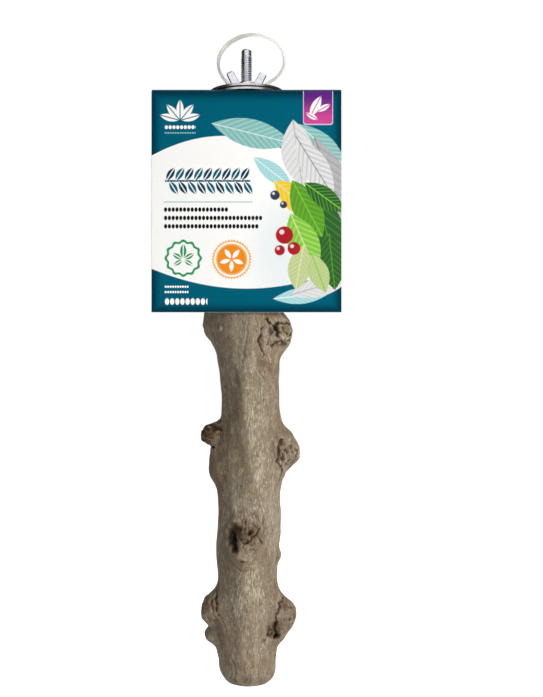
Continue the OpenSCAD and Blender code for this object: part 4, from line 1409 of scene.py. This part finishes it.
# %% Motifs
class Print(Finish):
    """A finish with shapes that are laid over each other in the card's plane: X to the right, Y down."""

    def __init__(self, name, top, mirror=1):
        """Start a plane that measures millimetres down from a height; a mirror of -1 turns X round."""
        super().__init__(name)
        self.solid = self.axes(self.place())
        self.x = self.sum("MULTIPLY", self.solid["X"], mirror / MM)
        self.y = self.sum("MULTIPLY_ADD", self.solid["Z"], -1 / MM, top)
        self.plane = self.add("ShaderNodeCombineXYZ", {"X": self.x, "Y": self.y})
        self.tone = ink(255, 255, 255)

    def lay(self, mask, colour):
        """Print a colour over what is there, where the mask is 1."""
        self.tone = self.mix(mask, self.tone, colour)

    def unit_frame(self, x, y, turn=0, half_length=1, half_width=1):
        """Coordinates in which a shape of these half sizes at this place has the size 1."""
        return self.add("ShaderNodeMapping", {
            "Vector": self.plane,
            "Location": (x, y, 0),
            "Rotation": (0, 0, math.radians(turn)),
            "Scale": (half_length, half_width, 1),
        }, vector_type="TEXTURE")

    def length(self, vector):
        """The length of a vector."""
        return self.add("ShaderNodeVectorMath", {0: vector}, "Value", operation="LENGTH")

    def disc(self, x, y, half_length, half_width=None, soft=0.2):
        """Inside of an ellipse: the length of the unit coordinates is under 1."""
        half_width = half_width or half_length
        reach = self.length(self.unit_frame(x, y, 0, half_length, half_width))
        return self.band(reach, 1 + soft / half_width, 1 - soft / half_width)

    def past(self, value, half_size):
        """How far a value lies outside a half size on either side, and 0 within it."""
        return self.sum("MAXIMUM", self.sum("SUBTRACT", self.sum("ABSOLUTE", value), half_size), 0.0)

    def block(self, x, y, half_length, half_width, corner):
        """Inside of a rounded rectangle: the distance outside its core is under the corner's radius."""
        axes = self.axes(self.unit_frame(x, y))
        over_x = self.past(axes["X"], half_length - corner)
        over_y = self.past(axes["Y"], half_width - corner)
        square_y = self.sum("MULTIPLY", over_y, over_y)
        reach = self.sum("SQRT", self.sum("MULTIPLY_ADD", over_x, over_x, square_y))
        return self.band(reach, corner + BLOCK_SOFT, corner - BLOCK_SOFT)

    def leaf(self, x, y, turn, half_length, half_width, colour, rib=None, veins=0):
        """A leaf with a rib and slant veins: its width is one minus the square of the way along it."""
        axes = self.axes(self.unit_frame(x, y, turn, half_length, half_width))
        side = self.sum("ABSOLUTE", axes["Y"])
        edge = self.sum("MULTIPLY_ADD", axes["X"], axes["X"], side)
        soft = LEAF_SOFT / half_width
        inside = self.band(edge, 1 + soft, 1 - soft)
        self.lay(inside, colour)
        if veins:
            phase = self.sum("MULTIPLY", self.sum("MULTIPLY_ADD", side, -0.5, axes["X"]), veins)
            wave = self.band(self.sum("SINE", phase), 0.2, 1.0, 0.0, 0.38)
            self.lay(self.sum("MULTIPLY", wave, inside), rib)
        if rib:
            line = self.band(self.sum("MULTIPLY", side, half_width), 0.42, 0.18, 0.0, 0.9)
            self.lay(self.sum("MULTIPLY", line, inside), rib)

    def petal(self, x, y, reach, turn, half_length, half_width, colour, rib=None):
        """A leaf that points away from a place: its middle lies at the reach along its own direction."""
        way = math.radians(turn)
        x, y = x + reach * math.cos(way), y + reach * math.sin(way)
        self.leaf(x, y, turn, half_length, half_width, colour, rib)

    def beads(self, x, y, length, pitch, half_height, colour):
        """A line of beads: one oval repeated along a stretch by the remainder of X over the pitch."""
        local = self.sum("SUBTRACT", self.x, x)
        phase = self.sum("MULTIPLY_ADD", self.sum("FRACT", self.sum("DIVIDE", local, pitch)), 2.4, -1.2)
        up = self.sum("DIVIDE", self.sum("SUBTRACT", self.y, y), half_height)
        oval_edge = self.sum("MULTIPLY_ADD", phase, phase, self.sum("MULTIPLY", up, up))
        inside = self.band(oval_edge, 1.25, 0.85)
        for test in (self.sum("GREATER_THAN", local, 0.0), self.sum("LESS_THAN", local, length)):
            inside = self.sum("MULTIPLY", inside, test)
        self.lay(inside, colour)

    def rosette(self, x, y, radius, lobes, swing, colour):
        """Inside of a wavy circle: its radius swings with the cosine of the angle times its lobes."""
        vector = self.unit_frame(x, y)
        axes = self.axes(vector)
        angle = self.sum("ARCTAN2", axes["Y"], axes["X"])
        wave = self.sum("COSINE", self.sum("MULTIPLY", angle, lobes))
        edge = self.sum("MULTIPLY_ADD", wave, -swing, self.length(vector))
        self.lay(self.band(edge, radius + ROSETTE_SOFT, radius - ROSETTE_SOFT), colour)


# %% Ground with a field and darker edges
TEAL, TEAL_DARK, WHITE = ink(0, 94, 118), ink(0, 52, 70), ink(254, 254, 254)
HAZE_BLUE, BARE_BOARD = ink(196, 216, 226), ink(216, 212, 204)
RIM_FADE, TOP_FADE_SHARE = 6.0, 0.30
UPPER_ARC, LOWER_ARC = (-12.0, 23.8, 0.0072), (0.0, 104.2, -0.0042)
ARC_SOFT = 0.2
print("teal in linear light:", [round(part, 3) for part in TEAL[:3]])


def printed_ground(name, mirror=1):
    """Teal ground with a white field between two parabolas, darker at the edges of the teal.

    A parabola is a middle X, the height there, and the rise for each square millimetre away from it.
    """
    card = Print(name, FRONT_TOP, mirror)
    card.tone = TEAL
    from_side = card.sum("SUBTRACT", CARD_HALF_WIDTH, card.sum("ABSOLUTE", card.x))
    from_end = card.sum("MINIMUM", card.y, card.sum("SUBTRACT", CARD_HEIGHT, card.y))
    rim = card.sum("MINIMUM", from_side, from_end)
    card.lay(card.band(rim, RIM_FADE, 0.0), TEAL_DARK)
    card.lay(card.band(card.sum("ABSOLUTE", card.y), 8.0, 0.0, 0.0, TOP_FADE_SHARE), TEAL_DARK)
    masks = []
    for (middle, arc_height, bend), below in ((UPPER_ARC, 1), (LOWER_ARC, -1)):
        away = card.sum("SUBTRACT", card.x, middle)
        arc = card.sum("MULTIPLY_ADD", card.sum("MULTIPLY", away, away), bend, arc_height)
        inside = card.sum("MULTIPLY", card.sum("SUBTRACT", card.y, arc), below)
        masks.append(card.band(inside, -ARC_SOFT, ARC_SOFT))
    field = card.sum("MULTIPLY", *masks)
    card.lay(field, WHITE)
    haze = card.disc(30, 84, 26, 30, soft=14)
    card.lay(card.sum("MULTIPLY", card.sum("MULTIPLY", haze, field), 0.35), HAZE_BLUE)
    return card


def finished(card):
    """Printed board with a satin varnish and the faint felt of paper, unprinted where it is marked bare."""
    at = card.place()
    felt = card.noise(at, 1800.0, 3.0, 0.6)
    cloud = card.noise(at, 240.0, 3.0, 0.6)
    tone = card.mix(card.band(felt, 0.30, 0.70, 0.0, 0.5), card.tone, ink(240, 240, 240), "MULTIPLY")
    tone = card.mix(card.attribute("bare"), tone, BARE_BOARD)
    return card.set(
        Base_Color=tone,
        Roughness=card.band(cloud, 0.3, 0.7, 0.50, 0.62),
        Specular_IOR_Level=0.04,
        Normal=card.bump(felt, 0.06, 0.0001),
    )


# %% Inks of the motifs
MINT, MINT_RIB = ink(132, 190, 186), ink(214, 236, 232)
SKY, SKY_RIB = ink(160, 214, 220), ink(228, 246, 247)
PALE, SILVER, GREY = ink(226, 226, 228), ink(178, 180, 184), ink(134, 136, 140)
FOREST, GRASS, LIME, SAND = ink(48, 98, 50), ink(92, 156, 48), ink(130, 200, 64), ink(192, 206, 148)
YELLOW, CREAM, RED, PLUM = ink(245, 202, 40), ink(222, 230, 170), ink(176, 34, 44), ink(58, 62, 92)
NAVY, BLACK, GREEN, ORANGE = ink(12, 62, 84), ink(28, 28, 30), ink(36, 156, 92), ink(244, 144, 34)
PEACH, VIOLET, MAGENTA, LILAC = ink(246, 184, 116), ink(92, 40, 130), ink(206, 74, 150), ink(226, 196, 230)
FERN, REED, SLATE, TOP_TEAL = ink(92, 156, 72), ink(190, 214, 150), ink(90, 96, 100), ink(0, 70, 90)
print("green part of white and of black:", round(WHITE[1], 2), "and", round(BLACK[1], 3))

# %% [markdown]
# A renderer keeps every open value of one shader on a short stack, and so many motifs overflow it. The
# panel is therefore printed in four zones, as a press prints from several plates. Each zone has the same
# ground and only the motifs that touch it, so the joins between them can't be seen.

# %% Top zone: sprig, broad leaves and tag
upper_leaves = (
    (40, 29, 42, 17, 6.0, MINT, MINT_RIB, 30), (44, 47, 70, 24, 9.0, SILVER, GREY, 30),
    (27, 33, 82, 18, 8.6, PALE, SILVER, 30), (36, 40, 58, 19, 7.0, PALE, GREY, 30),
)
crown = printed_ground("front_print_crown")
crown.leaf(3, 22.5, 14, 22, 7.4, MINT, MINT_RIB, 34)
for leaf in upper_leaves:
    crown.leaf(*leaf)
crown.lay(crown.block(37.7, 8.0, 7.9, 10.0, 1.6), LILAC)
tag = crown.mix(crown.band(crown.y, 2.0, 16.0), VIOLET, MAGENTA)
crown.lay(crown.block(37.7, 7.8, 7.5, 9.6, 1.4), tag)
for x, y, turn, length in ((36.4, 8.2, -62, 6.2), (40.6, 9.0, -28, 4.0), (34.4, 13.4, -150, 3.6)):
    crown.leaf(x, y, turn, length, length * 0.36, WHITE, MAGENTA)
for turn in (-90, -50, -130, -15, -165):
    crown.petal(-35, 15.6, 5.8, turn, 5.2, 1.9, WHITE, TEAL)
crown.beads(-43.2, 19.2, 16.4, 2.0, 1.0, WHITE)
crown.beads(-43.2, 22.2, 16.4, 1.3, 0.45, MINT)
print("top zone:", len(crown.tree.nodes), "nodes")

# %% Right zone: leafy branch with berries
small_leaf = (14, 43, 38, 13, 4.6, SKY, SKY_RIB, 34)
branch_leaves = (
    (29, 108, -6, 15, 4.2, SKY, SKY_RIB, 30), (39, 103, -16, 17, 5.2, PALE, SILVER, 30),
    (42, 74, 74, 25, 9.4, FOREST, GRASS, 30), (26, 57, 40, 15, 6.6, YELLOW, CREAM, 30),
    (32, 62, 62, 17, 7.6, GRASS, LIME, 30), (41, 56, 36, 13, 5.4, FOREST, LIME, 30),
    (45, 90, 84, 15, 7.0, FOREST, GRASS, 30), (30, 80, 66, 17, 8.2, LIME, CREAM, 30),
    (28, 93, 100, 12, 6.2, SAND, CREAM, 30), (38, 96, 70, 11, 5.4, SAND, LIME, 30),
)
berries = (
    (20, 76, 4.6, RED), (25, 83, 3.4, RED), (17.5, 84, 2.7, RED),
    (15, 55, 2.5, PLUM), (19.5, 60, 1.9, PLUM),
)
picture = printed_ground("front_print_picture")
for leaf in (small_leaf, *upper_leaves, *branch_leaves):
    picture.leaf(*leaf)
for x, y, radius, berry in berries:
    picture.lay(picture.disc(x, y, radius), berry)
    picture.lay(picture.disc(x - radius * 0.3, y - radius * 0.35, radius * 0.28, soft=0.35), PALE)
print("right zone:", len(picture.tree.nodes), "nodes")

# %% Middle zone: garland and lines of beads
title = printed_ground("front_print_title")
title.leaf(*small_leaf)
title.lay(title.block(-20.5, 47.5, 22.5, 0.5, 0.4), TEAL)
for k in range(9):
    first, second = (TEAL, NAVY) if k % 2 else (NAVY, TEAL)
    title.leaf(-40 + 4.9 * k, 43.9, -58, 4.1, 1.75, first, WHITE)
    title.leaf(-38.4 + 4.9 * k, 51.1, 58, 4.1, 1.75, second, WHITE)
title.lay(title.block(-20.2, 58.6, 23.4, 0.22, 0.15), MINT)
for line, length in ((62.6, 34.0), (67.0, 52.0), (71.4, 50.0)):
    title.beads(-43.6, line, length, 2.0, 1.15, BLACK)
print("middle zone:", len(title.tree.nodes), "nodes")

# %% Lower zone: two rosettes and short lines of beads
seals = printed_ground("front_print_seals")
seals.rosette(-33.3, 88.2, 9.4, 12, 0.5, GREEN)
seals.rosette(-33.3, 88.2, 8.1, 12, 0.4, WHITE)
for turn, length in ((-90, 4.6), (-150, 3.6), (-30, 3.6), (150, 3.2), (30, 3.2)):
    seals.petal(-33.3, 89, length, turn, length * 0.85, length * 0.36, GREEN, WHITE)
seals.rosette(-7.8, 88.8, 10.2, 40, 0.35, PEACH)
for radius, colour in ((9.2, WHITE), (8.3, PEACH), (7.5, ORANGE)):
    seals.lay(seals.disc(-7.8, 88.8, radius), colour)
for turn in range(20, 360, 72):
    seals.petal(-7.8, 88.8, 3.6, turn, 2.9, 1.15, WHITE)
for line in ((103.2, 12.6, 1.3, 0.6), (106.0, 12.6, 1.3, 0.6), (111.0, 22.6, 2.7, 1.7)):
    seals.beads(-43.2, *line, WHITE)
print("lower zone:", len(seals.tree.nodes), "nodes")

# %% Four zones of the front print
ZONE_X, CROWN_LOW, TITLE_LOW = 10.0, 34.0, 77.0
front_finishes = [finished(zone) for zone in (crown, picture, title, seals)]
print("finishes of the front panel:", [finish.name for finish in front_finishes])


def front_zone(x, y):
    """Number of the zone that a place of the front panel lies in."""
    return np.where(y < CROWN_LOW, 0, np.where(x >= ZONE_X, 1, np.where(y < TITLE_LOW, 2, 3)))


# %% Back print
back_print = printed_ground("back_print", -1)
for k in range(7):
    back_print.leaf(-30 + 10 * k, 62 - 4 * (k % 2), -60 + 120 * (k % 2), 9, 3.6, FERN, REED, 24)
for row in (76.0, 80.0, 84.0, 88.0):
    back_print.beads(-36.0, row, 72.0, 2.0, 0.9, SLATE)
back_finish = finished(back_print)
print("finish of the back panel:", back_finish.name)

# %% Top print, which stops at the board's edge
# the top panel's outer face lies at the first depth and slopes down beyond the wood's edge
TOP_FACE_DEPTH, TOP_FACE_SLOPE = 1.25, 0.4
top_print = Print("top_print", 0.0)
top_print.tone = TOP_TEAL
top_print.lay(top_print.band(top_print.sum("ABSOLUTE", top_print.x), 40.0, 51.0, 0.0, 0.8), TEAL_DARK)
past_wood = top_print.past(top_print.sum("MULTIPLY", top_print.solid["Y"], 1 / MM), WOOD_RADIUS)
outer_face = top_print.sum("MULTIPLY_ADD", past_wood, TOP_FACE_SLOPE, TOP_FACE_DEPTH)
top_print.lay(top_print.band(top_print.sum("SUBTRACT", top_print.y, outer_face), 0.30, 0.45), BARE_BOARD)
top_finish = finished(top_print)
print("finish of the top panel:", top_finish.name)

# %% [markdown]
# ## Card: three panels
# The card is board of half a millimetre, folded twice over the end of the wood. A thin box could stand for
# a panel, but a real card is never quite flat, so the hanging panels bow by a fraction of a millimetre
# and their folded edge is rounded. The section of a panel is a long thin loop, carried from the fold down
# to the cut edge. An attribute marks the cut edges and the inner side, which are bare. The panel that
# lies over the wood keeps the construction model's shape and only takes the print.

# %% Shape of a hanging panel
BOARD = 0.5
FOLD_ROUND = 0.7
FOLD_SHARE = 0.8
BOW, BOW_WIDTH = 0.28, 120.0
RIPPLE, RIPPLE_ACROSS, RIPPLE_DOWN = 0.10, 17.0, 31.0
STIFF_LENGTH = 12.0
EDGE_STEPS = np.array([0, 0.05, 0.15, 0.5])
EDGE_INSET = np.array([0.12, 0.04, 0.0, 0.0])
MIDDLE_HALF = 49
print("thickness of the board, mm:", BOARD)


def edge_inset(distance):
    """How far a face draws back near a cut edge: a chamfer read from the table of steps and insets."""
    return np.interp(distance, EDGE_STEPS, EDGE_INSET)


def panel_points(out_y, way, top, low):
    """Loops of a thin sheet: outer face from left to right, then inner face, moved by a shallow bow.

    The bow is half a sine wave down the panel times a cosine across it, with a fainter slanting ripple,
    and it fades out towards the fold. The second result marks the bare points: cut edges and inner face.
    """
    length = top - low
    middle = np.linspace(-MIDDLE_HALF, MIDDLE_HALF, 60)
    x = np.concatenate([-CARD_HALF_WIDTH + EDGE_STEPS, middle, CARD_HALF_WIDTH - EDGE_STEPS[::-1]])
    s = np.concatenate([
        np.linspace(0, FOLD_ROUND, 7),
        np.linspace(1.2, length - 0.5, 70)[:-1],
        length - EDGE_STEPS[::-1],
    ])
    S, X = np.meshgrid(s, x, indexing="ij")
    from_fold = np.clip(S / FOLD_ROUND, 0, 1)
    fold = BOARD * FOLD_SHARE * (1 - np.sqrt(np.clip(1 - (1 - from_fold) ** 2, 0, 1)))
    from_side = edge_inset(CARD_HALF_WIDTH - np.abs(X))
    from_cut = edge_inset(length - S)
    bow = BOW * np.sin(np.pi * np.clip(S / length, 0, 1)) * np.cos(np.pi * X / BOW_WIDTH)
    bow = bow + RIPPLE * np.cos(X / RIPPLE_ACROSS + S / RIPPLE_DOWN)
    bow = bow * np.clip(S / STIFF_LENGTH, 0, 1)
    outer = np.stack([X, out_y + way * (fold + from_cut + from_side - bow), top - S], -1)
    inner = np.stack([X, out_y + way * (BOARD - from_cut - from_side - bow), top - S], -1)
    loops = np.concatenate([outer, inner[:, ::-1]], 1)
    rim = (np.maximum(from_cut, from_side) > 0.02) * 1.0
    return loops, np.concatenate([rim, from_fold[:, ::-1]], 1)


# %% Front and back panels
for name, node, body, finishes, outward in (
    ("front_card", "card_front_panel", "card_front", front_finishes, -1),
    ("back_card", "card_back_panel", "card_back", [back_finish], 1),
):
    low, top = (np.array(corner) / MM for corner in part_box(node))
    loops, bare = panel_points(low[1] if outward < 0 else top[1], -outward, top[2], low[2])
    panel = grid_piece(name, loops, finishes[0], flip=outward > 0, bare=bare)
    for finish in finishes[1:]:
        panel.data.materials.append(finish)
    if outward < 0:
        middles = np.empty(len(panel.data.polygons) * 3)
        panel.data.polygons.foreach_get("center", middles)
        middles = middles.reshape(-1, 3) / MM
        panel.data.polygons.foreach_set("material_index", front_zone(middles[:, 0], top[2] - middles[:, 2]))
    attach(panel, body)
    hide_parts(node)

# %% Print on the panel over the wood
for slot in bpy.data.objects["card_top_panel"].material_slots:
    slot.material = top_finish
print("card_top_panel shows", top_finish.name)
